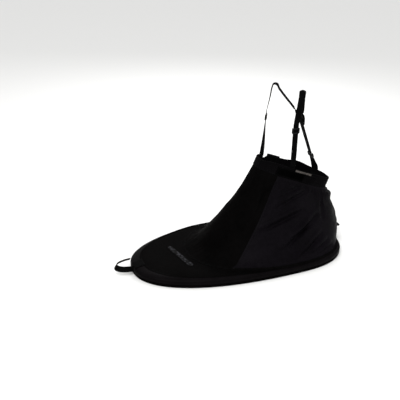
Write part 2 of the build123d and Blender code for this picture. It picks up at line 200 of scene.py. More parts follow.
def even_angles(outline, count, fixed=()):
    """Outline angles spaced evenly along its length, with the fixed angles moved onto a column."""
    dense = np.linspace(-math.pi, math.pi, 4001)
    points = outline(dense)
    length = arc_length(points)
    phi = np.interp(np.arange(count) / count * length[-1], length, dense)
    for angle in fixed:
        phi[np.argmin(np.abs(phi - angle))] = angle
    return phi


def smooth_noise(shape, cell, seed):
    """Smooth noise between about -1 and 1 on a grid that wraps round in its columns."""
    source = np.random.default_rng(seed)
    rows, columns = max(2, int(shape[0] / cell[0]) + 2), max(3, int(shape[1] / cell[1]))
    knots = source.uniform(-1, 1, (rows, columns))
    r = np.linspace(0, rows - 1.001, shape[0])
    c = np.arange(shape[1]) / shape[1] * columns
    r0, c0 = r.astype(int), c.astype(int)
    fr, fc = r - r0, c - c0
    fr, fc = fr * fr * (3 - 2 * fr), fc * fc * (3 - 2 * fc)
    c1 = (c0 + 1) % columns
    top = knots[r0][:, c0] * (1 - fc) + knots[r0][:, c1] * fc
    bottom = knots[r0 + 1][:, c0] * (1 - fc) + knots[r0 + 1][:, c1] * fc
    return top * (1 - fr[:, None]) + bottom * fr[:, None]


def grid_normals(grid):
    """Outward normals of a grid of rows by wrapped columns."""
    along = np.roll(grid, -1, 1) - np.roll(grid, 1, 1)
    up = np.gradient(grid, axis=0)
    normal = np.cross(along, up)
    return normal / np.maximum(np.linalg.norm(normal, axis=-1, keepdims=True), 1e-9)


# Materials


class Nodes:
    """A short way to write node trees."""

    def __init__(self, name):
        self.material = bpy.data.materials.new(name)
        self.material.use_nodes = True
        self.tree = self.material.node_tree
        self.shader = self.tree.nodes["Principled BSDF"]

    def add(self, kind, **settings):
        node = self.tree.nodes.new(kind)
        for key, value in settings.items():
            setattr(node, key, value)
        return node

    def link(self, output, target):
        self.tree.links.new(output, target)

    def place(self, kind="Object"):
        return self.add("ShaderNodeTexCoord").outputs[kind]

    def feed(self, output, name):
        self.link(output, self.shader.inputs[name])

    def set(self, **values):
        for key, value in values.items():
            self.shader.inputs[key.replace("_", " ")].default_value = value

    def math(self, operation, first, second=None):
        node = self.add("ShaderNodeMath", operation=operation)
        for slot, value in enumerate((first, second)):
            if value is None:
                continue
            if isinstance(value, (int, float)):
                node.inputs[slot].default_value = value
            else:
                self.link(value, node.inputs[slot])
        return node.outputs[0]

    def noise(self, coordinates, scale, detail=3.0, roughness=0.55):
        node = self.add("ShaderNodeTexNoise")
        node.inputs["Scale"].default_value = scale
        node.inputs["Detail"].default_value = detail
        node.inputs["Roughness"].default_value = roughness
        self.link(coordinates, node.inputs["Vector"])
        return node.outputs["Fac"]

    def ramp(self, factor, *stops):
        node = self.add("ShaderNodeValToRGB")
        elements = node.color_ramp.elements
        while len(elements) < len(stops):
            elements.new(0.5)
        for element, (position, colour) in zip(elements, stops):
            element.position = position
            element.color = (*colour, 1)
        self.link(factor, node.inputs["Fac"])
        return node.outputs["Color"]

    def map_range(self, value, low, high):
        node = self.add("ShaderNodeMapRange")
        node.inputs["To Min"].default_value = low
        node.inputs["To Max"].default_value = high
        self.link(value, node.inputs["Value"])
        return node.outputs["Result"]

    def bump(self, height, strength, distance, before=None):
        node = self.add("ShaderNodeBump")
        node.inputs["Strength"].default_value = strength
        node.inputs["Distance"].default_value = distance
        self.link(height, node.inputs["Height"])
        if before is not None:
            self.link(before, node.inputs["Normal"])
        return node.outputs["Normal"]


def woven(name, dark, light, pitch, sheen, roughness, rib=1.0, strength=0.5, tint=(1, 1, 1), gloss=0.012):
    """Cloth whose threads follow its UV map, laid out in metres. rib stretches the weave along the cloth."""
    n = Nodes(name)
    uv = n.place("UV")
    place = n.place()
    split = n.add("ShaderNodeSeparateXYZ")
    n.link(uv, split.inputs[0])
    turns = 2 * math.pi / pitch
    warp = n.math("SINE", n.math("MULTIPLY", split.outputs["X"], turns / rib))
    weft = n.math("SINE", n.math("MULTIPLY", split.outputs["Y"], turns))
    over = n.math("MULTIPLY", warp, weft)
    fibre = n.noise(place, 900, 2)
    height = n.math("ADD", n.math("MULTIPLY", over, 0.5), n.math("MULTIPLY", fibre, 0.5))
    cloudy = n.noise(place, 9, 4)
    mottle = n.noise(place, 70, 5, 0.65)
    mixed = n.math("ADD", n.math("MULTIPLY", cloudy, 0.6), n.math("MULTIPLY", mottle, 0.4))
    shaded = n.math("ADD", mixed, n.math("MULTIPLY", over, 0.05))
    n.feed(n.ramp(shaded, (0.32, dark), (0.68, light)), "Base Color")
    n.feed(n.map_range(mottle, roughness - 0.1, roughness + 0.12), "Roughness")
    creased = n.bump(n.noise(place, 38, 4, 0.6), 0.25, 0.004)
    n.feed(n.bump(height, strength, pitch * 0.25, creased), "Normal")
    n.set(Specular_IOR_Level=gloss, Sheen_Weight=sheen, Sheen_Roughness=0.45)
    n.shader.inputs["Sheen Tint"].default_value = (*tint, 1)
    return n.material


def moulded(name, colour, roughness=0.42):
    """Injection-moulded plastic with a fine spark texture and rubbed edges."""
    n = Nodes(name)
    place = n.place()
    rubbed = n.noise(place, 60, 5, 0.6)
    light = tuple(min(1, c * 1.8 + 0.0015) for c in colour)
    n.feed(n.ramp(rubbed, (0.4, colour), (0.75, light)), "Base Color")
    n.feed(n.map_range(rubbed, roughness - 0.08, roughness + 0.15), "Roughness")
    n.feed(n.bump(n.noise(place, 1600, 2), 0.25, 0.0002), "Normal")
    n.set(Specular_IOR_Level=0.10)
    return n.material


BRAID_TURNS = 3200


def braided(name, dark, light):
    """Shock cord: crossed spiral strands."""
    n = Nodes(name)
    place = n.place()
    split = n.add("ShaderNodeSeparateXYZ")
    n.link(place, split.inputs[0])
    winding = n.math("ADD", split.outputs["X"], split.outputs["Y"])
    left = n.math("SINE", n.math("MULTIPLY", winding, BRAID_TURNS))
    crossing = n.math("SUBTRACT", split.outputs["X"], split.outputs["Z"])
    right = n.math("SINE", n.math("MULTIPLY", crossing, BRAID_TURNS))
    strands = n.math("MULTIPLY", left, right)
    n.feed(n.ramp(n.map_range(strands, 0.3, 1.0), (0.3, dark), (0.9, light)), "Base Color")
    n.feed(n.bump(strands, 0.6, 0.0004), "Normal")
    n.set(Roughness=0.7, Sheen_Weight=0.003, Specular_IOR_Level=0.04)
    return n.material


def reflective_tape(name, dark, light):
    """Grey retroreflective tape: fine honeycomb cells, with a silver glint painted into the base colour,
    lighter in the cells' middles and broken up by noise patches.
    """
    n = Nodes(name)
    place = n.place()
    cells = n.add("ShaderNodeTexVoronoi", feature="DISTANCE_TO_EDGE")
    cells.inputs["Scale"].default_value = 420
    n.link(place, cells.inputs["Vector"])
    edge = cells.outputs["Distance"]
    mottle = n.ramp(n.noise(place, 75, 3, 0.7), (0.48, (0.05, 0.05, 0.05)), (0.60, (1, 1, 1)))
    # Painted glint: the honeycomb pattern's base colour is lighter in the cells' middles, where the noise
    # mask lets it through.
    painted_glint = n.math("MULTIPLY", n.math("MINIMUM", n.math("MULTIPLY", edge, 8), 1.0), mottle)
    n.feed(n.ramp(painted_glint, (0.05, dark), (0.95, light)), "Base Color")
    n.feed(n.map_range(n.noise(place, 45, 4), 0.35, 0.6), "Roughness")
    n.feed(n.bump(edge, 0.4, 0.0003), "Normal")
    n.set(Specular_IOR_Level=0.012)
    return n.material


def steel(name):
    n = Nodes(name)
    place = n.place()
    n.feed(n.map_range(n.noise(place, 300, 2), 0.2, 0.4), "Roughness")
    n.set(Metallic=1.0)
    n.shader.inputs["Base Color"].default_value = (0.55, 0.55, 0.56, 1)
    return n.material


DECK_CLOTH = woven(
    "deck_cloth", (0.0006, 0.0005, 0.0005), (0.0017, 0.0015, 0.0015), 0.0011, 0.0, 0.62, gloss=0.006
)
# The tunnel's side, back and seam cloth: a purple-tinted fabric of its own, and about twice as light as the
# deck cloth as painted light for the sides that face the light, against the shaded front panel.
SIDE_CLOTH_PAINTED_LIGHTER = woven(
    "side_cloth_painted_lighter", (0.0012, 0.0009, 0.0013), (0.0032, 0.0025, 0.0036), 0.0009, 0.001, 0.45, gloss=0.016,
    tint=(0.85, 0.8, 1.0),
)
BAND_CLOTH = woven(
    "band_cloth", (0.0008, 0.0007, 0.0008), (0.0022, 0.0019, 0.0022), 0.0010, 0.0005, 0.55, gloss=0.009
)
# The rand and the deck's margin: a rubberised rand of its own, made lighter than the deck cloth partly as the
# painted highlight of the rounded shoulder along the hem.
RAND_CLOTH_AND_PAINTED_HIGHLIGHT = woven(
    "rand_rubber_and_painted_highlight", (0.0013, 0.0010, 0.0012), (0.0034, 0.0027, 0.0031), 0.0016, 0.0005, 0.42,
    strength=0.3, gloss=0.014,
)
WEB_CLOTH = woven(
    "web_cloth", (0.0007, 0.0007, 0.0007), (0.0026, 0.0026, 0.0027), 0.0022, 0.001, 0.6, rib=0.7, strength=0.9
)
# Dark loop pile for the hook-and-loop tapes, and also the sheet of painted shade on the collar's port side.
LOOP_PILE_AND_SHADE_CLOTH = woven(
    "loop_pile_and_painted_shade", (0.0004, 0.0004, 0.0004), (0.0013, 0.0013, 0.0013), 0.0018, 0.0, 0.95,
    strength=1.0, gloss=0.0,
)
THREAD = woven("thread", (0.0020, 0.0020, 0.0021), (0.0060, 0.0060, 0.0064), 0.0005, 0.002, 0.6, gloss=0.03)
LABEL_CLOTH = woven("label_cloth", (0.020, 0.018, 0.017), (0.19, 0.17, 0.155), 0.0008, 0.01, 0.8)
REFLECTIVE = reflective_tape("reflective", (0.0010, 0.0010, 0.0011), (0.036, 0.036, 0.041))
PLASTIC = moulded("black_plastic", (0.0018, 0.0018, 0.0020))
CORD = braided("shock_cord_braid", (0.0014, 0.0014, 0.0016), (0.007, 0.007, 0.008))
STEEL = steel("spring_steel")


# The skirt's cloth: one sheet from the hem to the waistband, cut into its panels at the end

COLUMNS = 360
DECK_ROWS = 26
TUNNEL_ROWS = 104
MARGIN = 0.042
DECK_CROWDING = 1.25
SHOULDER_RISE = 0.009
CROWN = 0.006
DECK_SINK = 0.004

angles = even_angles(base_points, COLUMNS, (FRONT_SEAM, -FRONT_SEAM, REAR_SEAM, -REAR_SEAM))


def wrapped(angle):
    return (angle + math.pi) % (2 * math.pi) - math.pi


def deck_rows():
    """From the hem's top edge to the tunnel: a rounded margin, then a nearly flat deck."""
    hem = hem_points(angles, DECK_Z)
    base = base_points(angles)
    gap = np.linalg.norm(base - hem, axis=1)
    share = np.linspace(0, 1, DECK_ROWS) ** DECK_CROWDING
    rows = hem + (base - hem) * share[:, None, None]
    inboard = gap * share[:, None]
    shoulder = np.clip(inboard / MARGIN, 0, 1)
    rise = SHOULDER_RISE * np.sqrt(1 - (1 - shoulder) ** 2) * np.clip(gap / 0.12, 0, 1)
    crown = CROWN * np.sin(math.pi * share)[:, None] * np.clip(gap / 0.2, 0, 1)
    rows[..., 2] += rise + crown - DECK_SINK
    return rows


def tunnel_rows():
    """The body tunnel: a smooth curve through the base, the swell and the waistband's lower edge."""
    base, swell = base_points(angles), swell_points(wrapped(angles + SWELL_TWIST))
    top = waist_points(wrapped(angles + WAIST_TWIST), np.full(COLUMNS, -COLLAR_HEIGHT - MM))
    share = np.linspace(0, 1, TUNNEL_ROWS)[:, None, None]
    middle = 2 * swell - (base + top) / 2
    return base * (1 - share) ** 2 + 2 * middle * share * (1 - share) + top * share**2


def smooth_profiles(grid, reach, passes):
    """Rounds each column's profile, keeping both ends where they are."""
    out = grid.copy()
    for _ in range(passes):
        inner = (out[:-2] + 2 * out[1:-1] + out[2:]) / 4
        out[1:-1] = inner * reach[1:-1, None, None] + out[1:-1] * (1 - reach[1:-1, None, None])
    return out


def cloth_sheet():
    deck, tunnel = deck_rows(), tunnel_rows()
    tunnel[..., 2] += (deck[-1, :, 2] - tunnel[0, :, 2]) * (1 - np.linspace(0, 1, TUNNEL_ROWS)[:, None]) ** 6
    sheet = np.concatenate([deck, tunnel[1:]])
    row = np.arange(len(sheet))
    near_base = np.exp(-(((row - DECK_ROWS) / 9.0) ** 2))
    return smooth_profiles(sheet, near_base, 30)


# Creases in the side cloth: start point, end point, half-width, depth (m). They run from the front seam's
# foot up and aft, as the twisted, empty waist tube pulls them.
CREASES = [
    ((-0.030, 0.138, 0.160), (-0.252, 0.112, 0.212), 0.0085, 0.0120),
    ((-0.105, 0.112, 0.232), (-0.285, 0.076, 0.280), 0.0075, 0.0080),
    ((-0.150, 0.085, 0.282), (-0.280, 0.066, 0.296), 0.0065, 0.0045),
    ((-0.110, 0.192, 0.084), (-0.335, 0.105, 0.190), 0.0090, 0.0120),
    ((-0.160, 0.168, 0.120), (-0.300, 0.125, 0.160), 0.0070, 0.0070),
    ((-0.175, 0.211, 0.046), (-0.330, 0.148, 0.112), 0.0085, 0.0100),
    ((-0.240, 0.205, 0.050), (-0.352, 0.160, 0.078), 0.0075, 0.0080),
    ((-0.270, 0.205, 0.040), (-0.372, 0.150, 0.052), 0.0070, 0.0070),
    ((-0.330, 0.120, 0.150), (-0.365, 0.090, 0.225), 0.0080, 0.0060),
    ((0.010, 0.120, 0.120), (0.060, 0.060, 0.190), 0.0120, 0.0035),
    ((-0.080, 0.070, 0.300), (-0.030, 0.105, 0.230), 0.0080, 0.0050),
    ((-0.050, -0.140, 0.150), (-0.270, -0.115, 0.190), 0.0095, 0.0100),
    ((-0.110, -0.190, 0.090), (-0.330, -0.130, 0.150), 0.0095, 0.0100),
    ((-0.150, -0.105, 0.240), (-0.290, -0.080, 0.260), 0.0085, 0.0070),
    ((-0.200, -0.200, 0.055), (-0.340, -0.160, 0.095), 0.0085, 0.0080),
    ((-0.400, 0.060, 0.110), (-0.420, -0.070, 0.150), 0.0100, 0.0080),
    ((-0.400, 0.050, 0.200), (-0.410, -0.060, 0.175), 0.0090, 0.0060),
]
TUNNEL_AXIS_X = -0.19
BLOUSE = 0.014
BLOUSE_DROP = 0.034
BLOUSE_SPREAD = 0.024
TUNNEL_GATHERS = 62
GATHER_DEPTH = 0.0006
CREASE_BIAS = 2.2
ROLL = 0.75


def crease(grid, start, end, half_width, depth):
    """A groove with a soft roll of cloth above it, fading out at both ends."""
    start, end = np.array(start), np.array(end)
    line = end - start
    middle = (start + end) / 2
    outward = unit([middle[0] - TUNNEL_AXIS_X, middle[1], 0.05])
    across = unit(np.cross(line, outward))
    if across[2] > 0:
        across = -across
    along = ((grid - start) @ line) / (line @ line)
    t = np.clip(along, -0.15, 1.15)
    off = grid - (start + t[..., None] * line)
    side = off @ across
    far = np.linalg.norm(off, axis=-1)
    fade = np.sin(math.pi * np.clip(along, 0, 1)) ** 0.6
    groove = -np.exp(-((side / half_width) ** 2))
    roll = ROLL * np.exp(-(((side + CREASE_BIAS * half_width) / (1.4 * half_width)) ** 2))
    near = np.exp(-((far / (5 * half_width)) ** 4))
    return depth * (groove + roll) * fade * near


def noise_on(grid, cell, seed):
    return smooth_noise(grid.shape[:2], cell, seed)


def rumpled(grid):
    """The sheet with its creases, the waistband's gathers and a little slackness in the cloth."""
    normals = grid_normals(grid)
    push = sum(crease(grid, *entry) for entry in CREASES)
    row = np.arange(len(grid))
    in_tunnel = np.clip((row - DECK_ROWS - 2) / 10, 0, 1) * np.clip((len(grid) - 1 - row) / 8, 0, 1)
    on_deck = np.clip(row / 5, 0, 1) * np.clip((DECK_ROWS - 1 - row) / 5, 0, 1)
    below_band = np.exp(-((len(grid) - 1 - row) / 12.0)) * np.clip((len(grid) - 1 - row) / 3, 0, 1)
    slack = noise_on(grid, (15, 16), 3) * 0.0022 + noise_on(grid, (7, 7), 4) * 0.0008
    around = np.arange(COLUMNS) / COLUMNS * 2 * math.pi
    gathers = np.sin(around * TUNNEL_GATHERS + 3 * smooth_noise((2, COLUMNS), (1, 20), 5)[0])
    drop = np.linalg.norm(grid - grid[-1:], axis=-1)
    aft = np.clip((-np.cos(angles) - 0.35) / 0.45, 0, 1)
    blouse = BLOUSE * np.exp(-(((drop - BLOUSE_DROP) / BLOUSE_SPREAD) ** 2))
    blouse = blouse * (aft * aft * (3 - 2 * aft))[None, :]
    uneven = 0.5 + 0.5 * smooth_noise((2, COLUMNS), (1, 11), 8)[0]
    push = push * in_tunnel[:, None] + slack * in_tunnel[:, None] + blouse
    push = push + gathers * uneven * GATHER_DEPTH * below_band[:, None]
    push = push + noise_on(grid, (9, 18), 6) * 0.0010 * on_deck[:, None]
    return grid + normals * push[..., None]


SIM_FRAMES = 22
SIM_CAP = 0.007
CLOTH_SETTINGS = {
    "quality": 4,
    "mass": 0.15,
    "tension_stiffness": 12,
    "compression_stiffness": 10,
    "shear_stiffness": 5,
    "bending_stiffness": 0.4,
    "vertex_group_mass": "pin",
    "shrink_min": -0.012,
}


def simulate(grid):
    """Hangs the sheet as cloth from its hem and waistband, a little too large, and caps its travel."""
    rows, columns = grid.shape[:2]
    flat = grid.reshape(-1, 3)
    obj = make_mesh("cloth_simulation", flat, grid_faces(rows, columns, True), [])
    group = obj.vertex_groups.new(name="pin")
    row = np.repeat(np.arange(rows), columns)
    weight = np.where((row < DECK_ROWS + 1) | (row > rows - 5), 1.0, 0.0)
    for value in (0.0, 1.0):
        group.add([int(i) for i in np.flatnonzero(weight == value)], value, "REPLACE")
    cloth = obj.modifiers.new("cloth", "CLOTH")
    for key, value in CLOTH_SETTINGS.items():
        setattr(cloth.settings, key, value)
    cloth.settings.effector_weights.gravity = 0.25
    cloth.collision_settings.use_collision = False
    cloth.collision_settings.use_self_collision = False
    scene = bpy.context.scene
    cloth.point_cache.frame_start = 1
    cloth.point_cache.frame_end = SIM_FRAMES
    for step in range(1, SIM_FRAMES + 1):
        scene.frame_set(step)
    evaluated = obj.evaluated_get(bpy.context.evaluated_depsgraph_get())
    moved = np.zeros(len(flat) * 3, np.float32)
    evaluated.data.vertices.foreach_get("co", moved)
    travel = moved.reshape(-1, 3) - flat
    length = np.linalg.norm(travel, axis=1, keepdims=True)
    travel *= np.minimum(1, SIM_CAP / np.maximum(length, 1e-9))
    bpy.data.objects.remove(obj)
    scene.frame_set(1)
    return (flat + travel).reshape(grid.shape)


sheet = rumpled(cloth_sheet())
sheet = simulate(sheet)
normals = grid_normals(sheet)

# More mesh helpers: shells, ribbons, slabs and stitches


def outward_faces(obj):
    """Turns the faces of a closed piece to the outside."""
    work = bmesh.new()
    work.from_mesh(obj.data)
    bmesh.ops.recalc_face_normals(work, faces=work.faces)
    work.to_mesh(obj.data)
    work.free()
    return obj


def uv_lengths(grid):
    """UVs in metres, measured along the middle row and the middle column."""
    row = grid[len(grid) // 2]
    across = arc_length(row)
    up = arc_length(grid.mean(1))
    return np.stack(np.broadcast_arrays(across[None, :], up[:, None]), -1).reshape(-1, 2)


CLOTH_THICKNESS = 0.0013


def shell(name, grid, materials, face_material=None):
    """A sheet of cloth: a grid, subdivided, and thickened to the inside."""
    rows, columns = grid.shape[:2]
    uv = uv_lengths(grid)
    obj = make_mesh(name, grid.reshape(-1, 3), grid_faces(rows, columns), materials, uv, face_material)
    add_modifier(obj, "SUBSURF", levels=1, render_levels=1)
    add_modifier(obj, "SOLIDIFY", thickness=CLOTH_THICKNESS, offset=-1)
    return obj


def slab(name, outer, inner, material):
    """A closed piece between two grids of the same shape, rounded along its border."""
    rows, columns = outer.shape[:2]
    total = rows * columns
    front = grid_faces(rows, columns)
    back = front[:, ::-1] + total
    edge = np.concatenate([
        np.arange(columns),
        np.arange(1, rows) * columns + columns - 1,
        (rows - 1) * columns + np.arange(columns - 2, -1, -1),
        np.arange(rows - 2, 0, -1) * columns,
    ])
    after = np.roll(edge, -1)
    wall = np.stack([edge, edge + total, after + total, after], -1)
    uv = np.concatenate([uv_lengths(outer), uv_lengths(inner)])
    points = np.concatenate([outer.reshape(-1, 3), inner.reshape(-1, 3)])
    obj = make_mesh(name, points, np.concatenate([front, back, wall]), [material], uv)
    outward_faces(obj)
    add_modifier(obj, "BEVEL", width=0.0005, segments=2, limit_method="ANGLE")
    return obj


def smooth_path(points, values, step):
    """Catmull-Rom through the points, with values carried along, resampled at a step."""
    points, values = np.array(points, float), np.array(values, float)
    padded = np.concatenate([[2 * points[0] - points[1]], points, [2 * points[-1] - points[-2]]])
    track, carried = [], []
    for i in range(len(points) - 1):
        a, b, c, d = padded[i : i + 4]
        span = np.linalg.norm(c - b)
        count = max(2, int(span / step))
        tangent_b = (c - a) * span / (np.linalg.norm(c - b) + np.linalg.norm(b - a))
        tangent_c = (d - b) * span / (np.linalg.norm(c - b) + np.linalg.norm(d - c))
        for t in np.arange(count) / count:
            h = (2 * t**3 - 3 * t**2 + 1, t**3 - 2 * t**2 + t, -2 * t**3 + 3 * t**2, t**3 - t**2)
            track.append(h[0] * b + h[1] * tangent_b + h[2] * c + h[3] * tangent_c)
            carried.append(values[i] * (1 - t) + values[i + 1] * t)
    track.append(points[-1])
    carried.append(values[-1])
    return np.array(track), np.array(carried)


def band_section(width, thickness):
    """A webbing's cross-section: flat faces, rounded edges and a slightly raised selvedge."""
    s = np.sin(np.linspace(-math.pi / 2, math.pi / 2, 13))
    u = s * width / 2
    v = thickness / 2 * np.sqrt(1 - np.abs(s) ** 10) * (1 + 0.16 * np.exp(-(((np.abs(s) - 0.9) / 0.07) ** 2)))
    return np.concatenate([u, u[-2:0:-1]]), np.concatenate([v, -v[-2:0:-1]])


def ribbon(name, centres, across, width, thickness, material, cup=None):
    """A closed band along a path. across is the direction of its width. cup bends its edges back."""
    tangent = normalised(np.gradient(centres, axis=0))
    wide = normalised(across - tangent * (across * tangent).sum(1, keepdims=True))
    face = np.cross(tangent, wide)
    u, v = band_section(width, thickness)
    grid = centres[:, None] + wide[:, None] * u[None, :, None] + face[:, None] * v[None, :, None]
    if cup is not None:
        grid = grid - face[:, None] * (cup[:, None] * (2 * u / width)[None] ** 2)[..., None]
    rows, columns = grid.shape[:2]
    faces = [list(f) for f in grid_faces(rows, columns, True)]
    faces.append(list(range(columns))[::-1])
    faces.append([(rows - 1) * columns + i for i in range(columns)])
    length = arc_length(centres)
    uv = np.stack(np.broadcast_arrays(u[None, :], length[:, None]), -1).reshape(-1, 2)
    return outward_faces(make_mesh(name, grid.reshape(-1, 3), faces, [material], uv))


STITCH_PITCH = 0.0046
STITCH_LENGTH = 0.0034
STITCH_RADIUS = 0.00042
THREAD_LIFT = 0.0002


def stitches(name, rows_of_stitches):
    """Thread stitches along paths. Each entry is (points, normals)."""
    points, faces = [], []
    sides = 6
    turn = np.arange(sides) / sides * 2 * math.pi
    for path, up in rows_of_stitches:
        path, up = np.asarray(path, float), np.asarray(up, float)
        length = arc_length(path)
        count = max(1, int(length[-1] / STITCH_PITCH))
        for at in (np.arange(count) + 0.5) * length[-1] / count:
            ends = np.clip([at - STITCH_LENGTH / 2, at + STITCH_LENGTH / 2], 0, length[-1])
            tips = [np.array([np.interp(e, length, path[:, k]) for k in range(3)]) for e in ends]
            normal = unit([np.interp(at, length, up[:, k]) for k in range(3)])
            along = unit(tips[1] - tips[0])
            side = np.cross(along, normal)
            base = len(points)
            points.append(tips[0] - normal * STITCH_RADIUS)
            for share in (0.2, 0.8):
                middle = tips[0] * (1 - share) + tips[1] * share + normal * STITCH_RADIUS * 0.35
                for a in turn:
                    points.append(middle + STITCH_RADIUS * (side * math.cos(a) + normal * math.sin(a)))
            points.append(tips[1] - normal * STITCH_RADIUS)
            for i in range(sides):
                j = (i + 1) % sides
                faces.append((base, base + 1 + j, base + 1 + i))
                faces.append((base + 1 + i, base + 1 + j, base + 1 + sides + j, base + 1 + sides + i))
                faces.append((base + 1 + 2 * sides, base + 1 + sides + i, base + 1 + sides + j))
    uv = np.array(points)[:, :2]
    return outward_faces(make_mesh(name, points, faces, [THREAD], uv))


def finish_piece(obj, slot, body, *nodes):
    if nodes:
        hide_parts(*nodes)
    if body is not None:
        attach(obj, body)
    return obj


def hang(obj, slot, *nodes):
    """A piece of the body tunnel, shaped to meet the deck at its foot and the waistband at its top: it hides
    its CAD nodes and bakes its transform, and is attached to no body.
    """
    finish_piece(obj, slot, None, *nodes)
    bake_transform(obj)
    return obj


# Hem: cord casing, rand and the deck with its margin

hem_phi = even_angles(lambda phi: hem_points(phi, 0.0), 420)


INWARD_STEP = 0.02
HEM_GIRTH = 2.2


def hem_band(name, profile, pucker, waves, materials, skip=None):
    """A closed profile of (outward, z) pairs carried round the hem, drawn up in small puckers."""
    ring = []
    phase = np.arange(len(hem_phi)) / len(hem_phi) * 2 * math.pi * waves
    phase = phase + 2.5 * smooth_noise((2, len(hem_phi)), (1, 18), 11)[0]
    for outward, z, share in profile:
        edge = hem_points(hem_phi, z)
        direction = normalised(edge - hem_points(hem_phi, z, INWARD_STEP))
        ring.append(edge + direction * (outward + share * pucker * np.sin(phase))[:, None])
    grid = np.array(ring)
    rows, columns = grid.shape[:2]
    faces = []
    for r in range(rows):
        for c in range(columns):
            n, up = (c + 1) % columns, (r + 1) % rows
            if skip is not None and skip(grid[r, c], r):
                continue
            faces.append((r * columns + c, r * columns + n, up * columns + n, up * columns + c))
    around = np.arange(columns) / columns * HEM_GIRTH
    height = np.array([p[1] + 0.5 * p[0] for p in profile])
    uv = np.stack(np.broadcast_arrays(around[None, :], height[:, None]), -1).reshape(-1, 2)
    return outward_faces(make_mesh(name, grid.reshape(-1, 3), faces, materials, uv))


CASING_PROFILE = [
    (-0.0135, 0.0010, 0), (-0.0100, 0.0002, 0), (-0.0050, 0.0000, 0), (-0.0022, 0.0006, 0.3),
    (-0.0006, 0.0026, 0.8), (0.0002, 0.0050, 1), (0.0003, 0.0078, 1), (-0.0005, 0.0104, 0.8),
    (-0.0022, 0.0124, 0.4), (-0.0050, 0.0129, 0), (-0.0100, 0.0126, 0), (-0.0135, 0.0118, 0),
]
RAND_PROFILE = [
    (-0.0024, 0.0127, 0), (-0.0010, 0.0134, 0.2), (0.0004, 0.0158, 0.7), (0.0008, 0.0195, 1),
    (0.0005, 0.0232, 0.8), (-0.0006, 0.0262, 0.4), (-0.0022, 0.0272, 0), (-0.0040, 0.0262, 0),
    (-0.0034, 0.0195, 0), (-0.0036, 0.0134, 0),
]
SLOT_HALF = 0.0105
SLOT_BOTTOM = 0.0025
SLOT_TOP = 0.0105


def at_slot(point, row):
    """The buttonhole at the stern that lets the shock cord's tails out."""
    outside = point[0] < -HEM_LENGTH / 2 + 0.0035
    return outside and abs(point[1]) < SLOT_HALF and SLOT_BOTTOM < point[2] < SLOT_TOP and row < 8


casing = hem_band("hem_casing", CASING_PROFILE, 0.0007, 170, [DECK_CLOTH], at_slot)
add_modifier(casing, "SUBSURF", levels=1, render_levels=1)
finish_piece(casing, "deck_fabric", "deck", "cord_casing")

rand = hem_band("rand_strip", RAND_PROFILE, 0.0005, 70, [RAND_CLOTH_AND_PAINTED_HIGHLIGHT])
add_modifier(rand, "SUBSURF", levels=1, render_levels=1)
finish_piece(rand, "rand", "deck", "rand_band")

deck_grid = sheet[:DECK_ROWS].copy()
closed_deck = np.concatenate([deck_grid, deck_grid[:, :1]], axis=1)
inboard = np.linalg.norm(closed_deck - closed_deck[:1], axis=-1)
# The margin faces take the lighter rand cloth: partly a rand of its own, partly the painted highlight along
# the hem's rounded shoulder.
margin_painted_lighter = (inboard[:-1, :-1] + inboard[1:, 1:]) / 2 < MARGIN
deck = shell("deck_cloth", closed_deck, [DECK_CLOTH, RAND_CLOTH_AND_PAINTED_HIGHLIGHT], margin_painted_lighter.astype(int).ravel())
finish_piece(deck, "deck_fabric", "deck", "deck_panel")


def deck_ring(distance, lift):
    """A path round the deck at a distance inboard of the hem, with its normals."""
    path, up = [], []
    for column in range(COLUMNS):
        track = np.linalg.norm(deck_grid[:, column] - deck_grid[0, column], axis=1)
        limit = min(distance, track[-1] * 0.8)
        path.append([np.interp(limit, track, deck_grid[:, column, k]) for k in range(3)])
        up.append([np.interp(limit, track, normals[:DECK_ROWS, column, k]) for k in range(3)])
    path, up = np.array(path + path[:1]), normalised(np.array(up + up[:1]))
    return path + up * lift, up


def along_surface(path, up):
    """The direction across a path, lying in the surface."""
    tangent = np.gradient(path, axis=0)
    return normalised(np.cross(tangent, up))


def felled_seam(name, path, up, width, thickness, material):
    return ribbon(name, path + up * thickness * 0.4, along_surface(path, up), width, thickness, material)


def beside(path, up, offset, lift):
    return path + along_surface(path, up) * offset + up * lift


MARGIN_THREAD_LIFT = 0.0004
margin_path, margin_up = deck_ring(MARGIN, 0)
margin_seam = felled_seam("margin_seam", margin_path, margin_up, 0.0055, 0.0013, DECK_CLOTH)
finish_piece(margin_seam, "deck_fabric", "deck")
margin_rows = [(deck_ring(MARGIN + off, MARGIN_THREAD_LIFT)[0], margin_up) for off in (-0.0045, 0.0045)]
margin_rows.append(deck_ring(0.004, 0.0003))
finish_piece(stitches("margin_stitching", margin_rows), "deck_fabric", "deck")

# Body tunnel

FRONT_PORT = int(np.argmin(np.abs(angles - FRONT_SEAM)))
FRONT_STARBOARD = int(np.argmin(np.abs(angles + FRONT_SEAM)))
REAR_PORT = int(np.argmin(np.abs(angles - REAR_SEAM)))
REAR_STARBOARD = int(np.argmin(np.abs(angles + REAR_SEAM)))
tunnel_grid = sheet[DECK_ROWS - 1 :]
tunnel_normals = normals[DECK_ROWS - 1 :]

